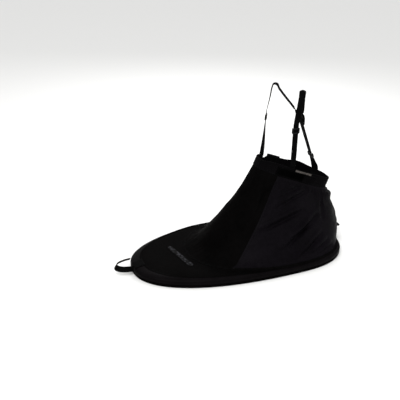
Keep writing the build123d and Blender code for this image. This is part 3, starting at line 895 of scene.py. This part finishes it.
# The front panel takes the darker deck cloth, the others the side cloth, which is partly painted light.
PANELS = {
    "front": (FRONT_STARBOARD, FRONT_PORT, DECK_CLOTH, "deck_fabric"),
    "port": (FRONT_PORT, REAR_PORT, SIDE_CLOTH_PAINTED_LIGHTER, "side_fabric"),
    "back": (REAR_PORT, REAR_STARBOARD + COLUMNS, SIDE_CLOTH_PAINTED_LIGHTER, "side_fabric"),
    "starboard": (REAR_STARBOARD, FRONT_STARBOARD, SIDE_CLOTH_PAINTED_LIGHTER, "side_fabric"),
}
for side, (first, last, cloth_material, slot_name) in PANELS.items():
    columns = np.arange(first, last + 1) % COLUMNS
    piece = shell(f"tunnel_{side}_cloth", tunnel_grid[:, columns], [cloth_material])
    hang(piece, slot_name, f"tunnel_{side}_panel")

seam_rows = []
for name, column in (
    ("front_port", FRONT_PORT),
    ("front_starboard", FRONT_STARBOARD),
    ("rear_port", REAR_PORT),
    ("rear_starboard", REAR_STARBOARD),
):
    path, up = tunnel_grid[:, column], tunnel_normals[:, column]
    hang(felled_seam(f"{name}_seam", path, up, 0.009, 0.0012, SIDE_CLOTH_PAINTED_LIGHTER), "side_fabric")
    seam_rows += [(beside(path, up, offset, 0.0011), up) for offset in (-0.0028, 0.0028)]
hang(stitches("tunnel_stitching", seam_rows), "side_fabric")

base_path = np.concatenate([tunnel_grid[0], tunnel_grid[0, :1]])
base_up = np.concatenate([normals[DECK_ROWS - 1], normals[DECK_ROWS - 1, :1]])
base_seam = felled_seam("tunnel_base_seam", base_path, base_up, 0.008, 0.0013, DECK_CLOTH)
finish_piece(base_seam, "deck_fabric", "deck")
base_rows = [(beside(base_path, base_up, offset, 0.0011), base_up) for offset in (-0.0026, 0.0026)]
finish_piece(stitches("tunnel_base_stitching", base_rows), "deck_fabric", "deck")

# Waistband with its patches, label and tab

BAND_COLUMNS = 360
BAND_GATHERS = 74
NORMAL_STEP = 0.004
FAR_RISE_REACH = 0.055
FAR_DIP_REACH = 0.018
SAG_START = 0.12
SAG_RUN = 0.05
BAND_DEPTH = 0.05
BAND_GIRTH = 0.86
FAR_RISE = 0.011
FAR_RISE_AT = -0.055
FAR_DIP = 0.016
FAR_DIP_AT = 0.122
BOW_SAG = 0.008
band_phi = wrapped(even_angles(lambda phi: waist_points(phi, np.zeros_like(phi)), BAND_COLUMNS))
BAND_PROFILE = [
    (-0.0470, 0.0012), (-0.0462, -0.0006), (-0.0440, -0.0012), (-0.0400, -0.0004), (-0.0330, -0.0010),
    (-0.0260, -0.0006), (-0.0190, -0.0010), (-0.0120, -0.0006), (-0.0085, 0.0002), (-0.0060, -0.0006),
    (-0.0020, -0.0008), (0.0000, 0.0006), (0.0006, 0.0024), (-0.0008, 0.0042), (-0.0060, 0.0048),
    (-0.0120, 0.0042), (-0.0240, 0.0048), (-0.0360, 0.0044), (-0.0440, 0.0048),
]


def band_grid():
    """The waistband's closed profile round the waist, shirred by the elastic inside it."""
    phase = np.arange(BAND_COLUMNS) / BAND_COLUMNS * 2 * math.pi * BAND_GATHERS
    phase = phase + 2.5 * smooth_noise((2, BAND_COLUMNS), (1, 14), 21)[0]
    strength = 0.75 + 0.35 * smooth_noise((2, BAND_COLUMNS), (1, 22), 22)[0]
    along = (waist_points(band_phi, np.zeros(BAND_COLUMNS)) - WAIST_CENTRE) @ WAIST_ALONG
    far_rise = FAR_RISE * np.exp(-(((along - FAR_RISE_AT) / FAR_RISE_REACH) ** 2)) * (np.sin(band_phi) < 0)
    far_dip = FAR_DIP * np.exp(-(((along - FAR_DIP_AT) / FAR_DIP_REACH) ** 2)) * (np.sin(band_phi) < 0)
    bow_sag = BOW_SAG * np.clip((along - SAG_START) / SAG_RUN, 0, 1) ** 2
    rows = []
    for up, inset in BAND_PROFILE:
        gather = GATHER_DEPTH * np.sin(phase + up * 25) * strength * min(1, max(0, -up) / 0.006)
        outer = waist_points(band_phi, np.full(BAND_COLUMNS, up), inset)
        deeper = waist_points(band_phi, np.full(BAND_COLUMNS, up), inset + NORMAL_STEP)
        direction = normalised(outer - deeper)
        lift = 0.0015 * smooth_noise((2, BAND_COLUMNS), (1, 30), 23)[0] * (up + BAND_DEPTH) / BAND_DEPTH
        lift = lift + (far_rise - far_dip - bow_sag) * (up + BAND_DEPTH) / BAND_DEPTH
        rows.append(outer + direction * gather[:, None] + WAIST_UP * lift[:, None])
    return np.array(rows)


band = band_grid()
rows, columns = band.shape[:2]
band_up = arc_length(band.mean(1))
band_uv = np.stack(
    np.broadcast_arrays((np.arange(columns) / columns * BAND_GIRTH)[None, :], band_up[:, None]), -1
).reshape(-1, 2)
ring_faces = grid_faces(rows + 1, columns, True) % (rows * columns)
collar = outward_faces(make_mesh("waistband_cloth", band.reshape(-1, 3), ring_faces, [BAND_CLOTH], band_uv))
add_modifier(collar, "SUBSURF", levels=1, render_levels=1)
finish_piece(collar, "waistband", "waistband", "waistband_outer", "waist_elastic", "waistband_lining")


def collar_path(up, offset=0.0):
    """A closed path round the waistband's outside, with its normals."""
    phi = np.append(band_phi, band_phi[0])
    path = waist_points(phi, np.full(len(phi), up), -offset)
    deeper = waist_points(phi, np.full(len(phi), up), NORMAL_STEP - offset)
    return path, normalised(path - deeper)


band_rows = [collar_path(-0.0085, 0.0006), collar_path(-0.0425, 0.0012), collar_path(-0.0400, 0.0012)]
finish_piece(stitches("waistband_stitching", band_rows), "waistband", "waistband")


def collar_patch(name, middle, length, bottom, height, side, lift, thickness, material):
    """A slab on the waistband's outside."""
    reach = WAIST_REACHES[0]
    phi = side * np.arccos(np.clip(np.linspace(middle + length / 2, middle - length / 2, 49) / reach, -1, 1))
    levels = [np.full(len(phi), level) for level in np.linspace(bottom, bottom + height, 15)]
    outer = np.array([waist_points(phi, up, -lift - thickness) for up in levels])
    inner = np.array([waist_points(phi, up, -lift) for up in levels])
    return slab(name, outer, inner, material), outer


def edge_path_of(grid, k=1):
    """A path round a patch, k cells inside its border, with its normals."""
    up = normalised(np.cross(np.gradient(grid, axis=1), np.gradient(grid, axis=0)))
    last_row, last_column = grid.shape[0] - 1 - k, grid.shape[1] - 1 - k
    loop = [(k, c) for c in range(k, last_column + 1)] + [(r, last_column) for r in range(k, last_row + 1)]
    loop += [(last_row, c) for c in range(last_column, k - 1, -1)]
    loop += [(r, k) for r in range(last_row, k - 1, -1)]
    return np.array([grid[i] for i in loop]), np.array([up[i] for i in loop])


def stitched(name, grid, slot_name, body, outward):
    path, up = edge_path_of(grid)
    if (up.mean(0) @ outward) < 0:
        up = -up
    return finish_piece(stitches(name, [(path + up * THREAD_LIFT, up)]), slot_name, body)


PORT, STARBOARD = 1, -1
# Name, middle, length, lower edge, height, side, lift, thickness and cloth; then slot, body, node and thread
COLLAR_PATCHES = [
    # The port side patch is painted shade: a dark sheet of loop pile laid on the collar below its rim and
    # label.
    ("painted_shade_patch", 0.042, 0.130, -0.042, 0.032, PORT, 0.0016, 0.0012, LOOP_PILE_AND_SHADE_CLOTH,
     "hook_loop", "waistband", "side_patch", "painted_shade_patch_stitching"),
    ("waist_label_tape", -0.012, 0.080, -0.010, 0.0085, PORT, 0.0030, 0.0009, LABEL_CLOTH,
     "label", "waistband", "waist_label", "waist_label_stitching"),
    ("loop_tape_pile", 0.054, 0.096, -0.034, 0.026, STARBOARD, 0.0016, 0.0012, LOOP_PILE_AND_SHADE_CLOTH,
     "hook_loop", "waistband", "loop_tape", "loop_tape_stitching"),
    ("hook_tape_face", 0.066, 0.052, -0.032, 0.022, STARBOARD, 0.0031, 0.0010, LOOP_PILE_AND_SHADE_CLOTH,
     "hook_loop", "waist_tab", "hook_tape", None),
    ("waist_tab_webbing", 0.066, 0.062, -0.032, 0.036, STARBOARD, 0.0044, 0.0018, WEB_CLOTH,
     "waistband", "waist_tab", "waist_tab", "waist_tab_stitching"),
]
for *shape, slot_name, body, node_name, thread_name in COLLAR_PATCHES:
    piece, face = collar_patch(*shape)
    finish_piece(piece, slot_name, body, node_name)
    if thread_name:
        outward = WAIST_ACROSS * (PORT if face[..., 1].mean() > 0 else STARBOARD)
        stitched(thread_name, face, slot_name, body, outward)

# Suspenders

PORT_FOOT = np.array([-0.203, 0.055, 0.373])
PORT_GLIDE = np.array([-0.203, 0.055, 0.530])
PORT_APEX = np.array([-0.221, 0.050, 0.686])
PORT_WALL = np.array([1.0, 0.0, 0.0])
PORT_FACE = np.array([0.895, -0.446, 0.0])
PORT_RADIUS = 0.008
STARBOARD_FOOT = np.array([-0.116, -0.048, 0.405])
STARBOARD_GLIDE = np.array([-0.127, -0.052, 0.560])
STARBOARD_APEX = np.array([-0.161, -0.055, 0.691])
STARBOARD_WALL = np.array([0.97, 0.25, 0.0])
STARBOARD_GLIDE_WALL = np.array([0.55, 0.835, 0.0])
STARBOARD_FACE = np.array([0.656, 0.755, 0.0])
STARBOARD_RADIUS = 0.013
YOKE = np.array([-0.254, 0.0, 0.553])
YOKE_TURN = math.radians(8)
YOKE_DOWN = unit([-0.38 * math.cos(YOKE_TURN), -0.38 * math.sin(YOKE_TURN), -0.92])
YOKE_AFT = unit([-0.92 * math.cos(YOKE_TURN), -0.92 * math.sin(YOKE_TURN), 0.38])
REAR_FOOT = np.array([-0.3775, -0.0445, 0.307])
REAR_GLIDE = np.array([-0.3357, -0.0278, 0.3863])
REAR_WALL = np.array([-0.95, 0.31, 0.0])
REAR_GLIDE_WALL = np.array([-0.1, 0.995, 0.0])
STRAIGHT_PAST_GLIDE = 0.026
STRAIGHT_BEFORE_GLIDE = 0.014
LEG_SPACING = 0.014
STRAP_DEPTH = 0.036
STRAP_THICKNESS = 0.0018
STRAP_STEP = 0.004
LEG_HOLD = 0.85
LEG_START_BACK = 2.3
LEG_START_UP = 0.3
YOKE_TOP = 0.035
LEG_END = 0.009
REAR_TOP = 0.003
REAR_TWIST_START = 0.028
REAR_TWIST_END = 0.040
RETURN_SHARE = 0.9
RETURN_GAP = 0.0008
GLIDE_BLEND_GAP = 0.004
SHOULDER_Z = 0.6
SIDEWAYS = np.array([-math.sin(YOKE_TURN), math.cos(YOKE_TURN), 0.0])


def shoulder_path(foot, glide, apex, radius, walls, face, side):
    """A front suspender's centreline and the direction of its width, from the waistband to the yoke."""
    wall, glide_wall = walls
    climb = unit(glide - foot)
    straight_start = glide - climb * STRAIGHT_BEFORE_GLIDE
    straight_end = glide + climb * STRAIGHT_PAST_GLIDE
    over = np.array([-face[1], face[0], 0]) * side
    upward = np.array([0.0, 0.0, 1.0])
    shoulder = apex + over * radius - upward * 2 * radius
    leg_start = shoulder - over * LEG_START_BACK * radius + upward * LEG_START_UP * radius
    meet = YOKE - YOKE_DOWN * YOKE_TOP + SIDEWAYS * side * LEG_SPACING
    leg_across = -SIDEWAYS * side
    stations = [(foot - WAIST_UP * STRAP_DEPTH, wall), (foot, wall)]
    stations += [(straight_start, glide_wall), (glide, glide_wall), (straight_end, glide_wall)]
    for share in (0.33, 0.66):
        middle = straight_end + (shoulder - straight_end) * share
        stations.append((middle, glide_wall * (1 - share) + face * share))
    for lift in (0, 30, 60, 90, 120, 150):
        turn = math.radians(lift)
        rise = upward * radius * (1 + math.sin(turn))
        stations.append((shoulder - over * radius * (1 - math.cos(turn)) + rise, face))
    stations.append((leg_start, face))
    stations.append((leg_start + (meet - leg_start) * LEG_HOLD, face))
    stations.append((leg_start + (meet - leg_start) * (1 + LEG_HOLD) / 2, (face + leg_across) / 2))
    stations.append((meet, leg_across))
    stations.append((YOKE - YOKE_DOWN * LEG_END + SIDEWAYS * side * LEG_SPACING, leg_across))
    return smooth_path([s[0] for s in stations], [s[1] for s in stations], STRAP_STEP)


CUP = 0.005
CUP_REACH = 0.014


def strap(name, path, across, foot_z, end_z, *nodes):
    """A strap from the waistband to the yoke. Its edges curl down where it bends over the shoulder."""
    away = path[:, 2].max() - path[:, 2]
    bent = path[:, 2].max() > SHOULDER_Z
    cup = CUP * np.exp(-((away / CUP_REACH) ** 2)) * bent
    tangent = np.gradient(path, axis=0)
    top = int(np.argmax(path[:, 2]))
    facing_up = np.cross(tangent[top], across[top])[2] > 0
    obj = ribbon(name, path, across, WEBBING, STRAP_THICKNESS, WEB_CLOTH, cup if facing_up else -cup)
    finish_piece(obj, "webbing", None, *nodes)
    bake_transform(obj)


strap(
    "port_shoulder_webbing",
    *shoulder_path(PORT_FOOT, PORT_GLIDE, PORT_APEX, PORT_RADIUS, (PORT_WALL, PORT_WALL), PORT_FACE, PORT),
    PORT_FOOT[2],
    PORT_GLIDE[2] - GLIDE_BLEND_GAP,
    "port_shoulder_strap",
)
strap(
    "starboard_shoulder_webbing",
    *shoulder_path(
        STARBOARD_FOOT,
        STARBOARD_GLIDE,
        STARBOARD_APEX,
        STARBOARD_RADIUS,
        (STARBOARD_WALL, STARBOARD_GLIDE_WALL),
        STARBOARD_FACE,
        STARBOARD,
    ),
    STARBOARD_FOOT[2],
    STARBOARD_GLIDE[2] - GLIDE_BLEND_GAP,
    "starboard_shoulder_strap",
)

REAR_BLEND_END = 0.4992
rear_run = unit(REAR_FOOT - REAR_GLIDE)
twist_start = YOKE + YOKE_DOWN * REAR_TWIST_START
twist_end = REAR_GLIDE - rear_run * REAR_TWIST_END
lower_start = REAR_GLIDE + rear_run * STRAIGHT_BEFORE_GLIDE
rear_stations = [
    (YOKE - YOKE_DOWN * REAR_TOP, SIDEWAYS),
    (twist_start, SIDEWAYS),
    (twist_end, REAR_GLIDE_WALL),
    (REAR_GLIDE, REAR_GLIDE_WALL),
    (lower_start, REAR_GLIDE_WALL),
    (REAR_FOOT, REAR_WALL),
    (REAR_FOOT - WAIST_UP * STRAP_DEPTH, REAR_WALL),
]
path, across = smooth_path([s[0] for s in rear_stations], [s[1] for s in rear_stations], STRAP_STEP)
strap("rear_webbing", path, across, REAR_FOOT[2], REAR_BLEND_END, "rear_strap")
share = np.linspace(0, RETURN_SHARE, 24)[:, None]
return_across = REAR_GLIDE_WALL * (1 - share) + REAR_WALL * share
return_out = normalised(np.cross(return_across, rear_run))
return_path = lower_start + (REAR_FOOT - lower_start) * share + return_out * (STRAP_THICKNESS + RETURN_GAP)
strap("rear_webbing_return", return_path, return_across, REAR_FOOT[2], REAR_BLEND_END, "rear_strap_return")


PATCH_THICKNESS = 0.0016
PATCH_CORNER = 0.004


def flat_patch(name, middle, wide, tall, half_widths, half_height):
    """A patch in a plane, with its own half-width at each level. Returns the piece and its outer grid."""
    wide, tall = unit(wide), unit(tall)
    out = np.cross(wide, tall)
    levels = np.linspace(-half_height, half_height, 25)
    half = np.interp(levels, *half_widths)
    past = np.clip(np.abs(levels) - half_height + PATCH_CORNER, 0, None)
    corner = np.sqrt(np.clip(1 - (past / PATCH_CORNER) ** 2, 0, 1))
    half = half - PATCH_CORNER * (1 - corner)
    s = np.linspace(-1, 1, 25)
    grid = middle + half[:, None, None] * s[None, :, None] * wide + levels[:, None, None] * tall
    outer = grid + out * PATCH_THICKNESS / 2
    return slab(name, outer, grid - out * PATCH_THICKNESS / 2, WEB_CLOTH), outer


def cross_stitched(name, grid, slot_name, body, outward):
    """A box of stitches with a cross inside it."""
    path, up = edge_path_of(grid, 2)
    up = up * (1 if up.mean(0) @ outward > 0 else -1)
    normal = up.mean(0)
    lines = [(path + up * THREAD_LIFT, up)]
    for a, b in ((grid[3, 3], grid[-4, -4]), (grid[3, -4], grid[-4, 3])):
        lines.append((np.linspace(a, b, 12) + normal * THREAD_LIFT, np.tile(normal, (12, 1))))
    return finish_piece(stitches(name, lines), slot_name, body)


PATCH_GAP = 0.0024
TACK_DEPTH = 0.025
yoke_levels = ((-0.024, 0.010, 0.030), (0.015, 0.029, 0.029))
yoke_middle = YOKE + YOKE_AFT * PATCH_GAP - YOKE_DOWN * REAR_TOP
piece, face = flat_patch("yoke_patch_cloth", yoke_middle, SIDEWAYS, -YOKE_DOWN, yoke_levels, 0.027)
finish_piece(piece, "webbing", "suspender_yoke", "yoke_patch")
if (face.reshape(-1, 3).mean(0) - YOKE) @ YOKE_AFT < PATCH_GAP:
    face = face + YOKE_AFT * PATCH_THICKNESS
cross_stitched("yoke_stitching", face, "webbing", "suspender_yoke", YOKE_AFT)

for name, foot, wall, inward in (
    ("port", PORT_FOOT, PORT_WALL, 1),
    ("starboard", STARBOARD_FOOT, STARBOARD_WALL, -1),
    ("rear", REAR_FOOT, REAR_WALL, 1),
):
    to_middle = unit(np.cross(wall, WAIST_UP)) * inward
    wide = np.cross(WAIST_UP, to_middle)
    spot = foot - WAIST_UP * TACK_DEPTH + to_middle * (PATCH_GAP + RETURN_GAP)
    tack_levels = ((-0.01, 0.01), (0.015, 0.015))
    piece, face = flat_patch(f"{name}_tack_patch", spot, wide, WAIST_UP, tack_levels, 0.010)
    finish_piece(piece, "webbing", "waistband", f"{name}_strap_tack")
    if (face.reshape(-1, 3).mean(0) - spot) @ to_middle < 0:
        face = face + to_middle * PATCH_THICKNESS
    cross_stitched(f"{name}_tack_stitching", face, "webbing", "waistband", to_middle)

# Grab loop, reflective strip and buttonhole

deck_tree = BVHTree.FromPolygons(
    [tuple(p) for p in closed_deck.reshape(-1, 3)],
    [tuple(int(i) for i in f) for f in grid_faces(*closed_deck.shape[:2])],
)


def on_deck(points, lift):
    """Points set down on the deck cloth, raised by lift, with the deck's normals."""
    placed, up = [], []
    for x, y in points.reshape(-1, 2):
        spot, normal, _, _ = deck_tree.ray_cast(Vector((x, y, 0.3)), Vector((0, 0, -1)))
        placed.append((x, y, DECK_Z + lift) if spot is None else tuple(spot + Vector((0, 0, lift))))
        up.append((0, 0, 1) if normal is None else tuple(normal if normal.z > 0 else -normal))
    return np.array(placed).reshape(*points.shape[:-1], 3), np.array(up).reshape(*points.shape[:-1], 3)


STRIP_CENTRE = centre("reflective_strip")[:2]
STRIP_ANGLE = math.radians(101)
STRIP_HALF = 0.086
STRIP_HALF_WIDTH = 0.0095
along_strip = np.array([math.cos(STRIP_ANGLE), math.sin(STRIP_ANGLE)])
across_strip = np.array([-along_strip[1], along_strip[0]])
s = STRIP_HALF * np.sin(np.linspace(-math.pi / 2, math.pi / 2, 49))
past = np.clip(np.abs(s) - STRIP_HALF + STRIP_HALF_WIDTH, 0, None)
half = np.sqrt(np.clip(STRIP_HALF_WIDTH**2 - past**2, 1e-8, None))
t = np.linspace(-1, 1, 9)
plan = STRIP_CENTRE + s[:, None, None] * along_strip + (half[:, None] * t)[..., None] * across_strip
top, _ = on_deck(plan, 0.0012)
bottom, _ = on_deck(plan, 0.0002)
strip = slab("reflective_tape_strip", top, bottom, REFLECTIVE)
finish_piece(strip, "reflective", "deck", "reflective_strip")

anchor_low, anchor_high = low("grab_loop_anchor"), high("grab_loop_anchor")
x_line = np.linspace(anchor_low[0], anchor_high[0], 21)
y_line = np.linspace(anchor_low[1], anchor_high[1], 21)
plan = np.stack(np.meshgrid(x_line, y_line, indexing="ij"), -1)
top, up = on_deck(plan, 0.0022)
bottom, _ = on_deck(plan, 0.0003)
finish_piece(slab("grab_anchor_webbing", top, bottom, WEB_CLOTH), "webbing", "deck", "grab_loop_anchor")
cross_stitched("grab_anchor_stitching", top, "webbing", "deck", np.array([0, 0, 1.0]))

LOOP_ROOT_X = 0.447
LOOP_REACH = 0.064
LOOP_HALF = 0.023
LOOP_HEIGHT = 0.012
LOOP_RISE = 0.009
MEAN_LEAN = 23.5
LEAN_SWING = 18.5
loop_centres, loop_across = [], []
for section in range(13):
    turn = math.radians(90 - 15 * section)
    lean = math.radians(MEAN_LEAN - LEAN_SWING * math.sin(turn))
    inward = np.array([-math.cos(turn), -math.sin(turn), 0])
    loop_centres.append((
        LOOP_ROOT_X + LOOP_REACH * math.cos(turn),
        LOOP_HALF * math.sin(turn),
        DECK_Z + LOOP_HEIGHT - LOOP_RISE * math.sin(turn),
    ))
    loop_across.append(inward * math.sin(lean) + np.array([0, 0, math.cos(lean)]))
loop_path, loop_wide = smooth_path(loop_centres, loop_across, 0.003)
loop = ribbon("grab_loop_webbing", loop_path, loop_wide, WEBBING, STRAP_THICKNESS, WEB_CLOTH)
finish_piece(loop, "webbing", "grab_loop", "grab_loop")

HOLE_HALF = (0.0105, 0.0044)
patch_low, patch_high = low("buttonhole_patch"), high("buttonhole_patch")
patch_middle = (patch_low + patch_high) / 2
turns = np.linspace(0, 2 * math.pi, 72, endpoint=False)


def squircle(half_y, half_z):
    y = half_y * np.sign(np.cos(turns)) * np.abs(np.cos(turns)) ** 0.35
    z = half_z * np.sign(np.sin(turns)) * np.abs(np.sin(turns)) ** 0.35
    return y, z


outer_half = ((patch_high - patch_low) / 2)[1:]
rings = []
for half_y, half_z, x in (
    (HOLE_HALF[0], HOLE_HALF[1], patch_high[0]),
    (HOLE_HALF[0], HOLE_HALF[1], patch_low[0]),
    (outer_half[0], outer_half[1], patch_low[0]),
    (outer_half[0], outer_half[1], patch_high[0]),
):
    y, z = squircle(half_y, half_z)
    rings.append(np.stack([np.full_like(y, x), y + patch_middle[1], z + patch_middle[2]], -1))
rings = np.array(rings)
ring_faces = grid_faces(5, len(turns), True) % (4 * len(turns))
ring_uv = rings.reshape(-1, 3)[:, 1:]
buttonhole = make_mesh("buttonhole_binding", rings.reshape(-1, 3), ring_faces, [WEB_CLOTH], ring_uv)
outward_faces(buttonhole)
add_modifier(buttonhole, "BEVEL", width=0.0005, segments=2, limit_method="ANGLE")
finish_piece(buttonhole, "webbing", "deck", "buttonhole_patch")

# CAD nodes that stay

for node_name, material, bevel in (
    ("port_adjuster", PLASTIC, 0.0008),
    ("starboard_adjuster", PLASTIC, 0.0008),
    ("rear_adjuster", PLASTIC, 0.0008),
    ("cord_lock_body", PLASTIC, 0.0009),
    ("cord_lock_plunger", PLASTIC, 0.0009),
    ("cord_end_stop", PLASTIC, 0.0004),
    ("cord_lock_spring", STEEL, 0),
    ("shock_cord", CORD, 0),
):
    node = frame["nodes"][node_name]
    if not node.material_slots:
        node.data.materials.append(material)
    for entry in node.material_slots:
        entry.material = material
    if bevel:
        edges = add_modifier(node, "BEVEL", width=bevel, segments=3, limit_method="ANGLE")
        edges.angle_limit = math.radians(40)

# Floor, light and camera

floor_mesh = bpy.data.meshes.new("floor")
FLOOR_REACH = 12.0
floor_corners = [(x * FLOOR_REACH, y * FLOOR_REACH, -MM) for x, y in ((-1, -1), (1, -1), (1, 1), (-1, 1))]
floor_mesh.from_pydata(floor_corners, [], [(0, 1, 2, 3)])
floor = bpy.data.objects.new("floor", floor_mesh)
bpy.context.scene.collection.objects.link(floor)
pale = Nodes("pale_floor")
pale.set(Roughness=0.85, Specular_IOR_Level=0.2)
pale.shader.inputs["Base Color"].default_value = (0.82, 0.82, 0.81, 1)
floor_mesh.materials.append(pale.material)

world = bpy.data.worlds.new("studio")
bpy.context.scene.world = world
world.use_nodes = True
background = world.node_tree.nodes["Background"]
background.inputs["Color"].default_value = (1.0, 1.0, 1.0, 1)
background.inputs["Strength"].default_value = 0.9


def area_light(name, location, target, size, power):
    data = bpy.data.lights.new(name, "AREA")
    data.shape = "SQUARE"
    data.size = size
    data.energy = power
    light = bpy.data.objects.new(name, data)
    light.location = location
    light.rotation_euler = (Vector(target) - Vector(location)).to_track_quat("-Z", "Y").to_euler()
    bpy.context.scene.collection.objects.link(light)


TARGET = (-0.15, 0.0, 0.2)
area_light("key", (1.2, 1.6, 2.2), TARGET, 1.3, 55)
area_light("aft_side", (-2.2, 1.4, 1.3), TARGET, 1.0, 10)
area_light("back", (-0.8, -2.0, 1.8), TARGET, 1.2, 25)

CAMERA_AZIMUTH = math.radians(26.544)
CAMERA_ELEVATION = math.radians(28.6217)
CAMERA_DISTANCE = 2.615155
CAMERA_AIM = np.array([0.0, 0.0, 0.1])
CAMERA_ROLL = math.radians(2.969)
toward = np.array([
    math.sin(CAMERA_AZIMUTH) * math.cos(CAMERA_ELEVATION),
    math.cos(CAMERA_AZIMUTH) * math.cos(CAMERA_ELEVATION),
    math.sin(CAMERA_ELEVATION),
])
camera_data = bpy.data.cameras.new("camera")
camera_data.sensor_width = 36
camera_data.lens = 57.3
camera_data.shift_x = -0.0921
camera_data.shift_y = 0.0783
camera = bpy.data.objects.new("camera", camera_data)
camera.location = CAMERA_AIM + toward * CAMERA_DISTANCE
facing = Vector(-toward).to_track_quat("-Z", "Y").to_matrix().to_4x4()
camera.matrix_world = Matrix.Translation(camera.location) @ facing @ Matrix.Rotation(CAMERA_ROLL, 4, "Z")
bpy.context.scene.collection.objects.link(camera)
bpy.context.scene.camera = camera
bpy.context.scene.view_settings.view_transform = "Standard"
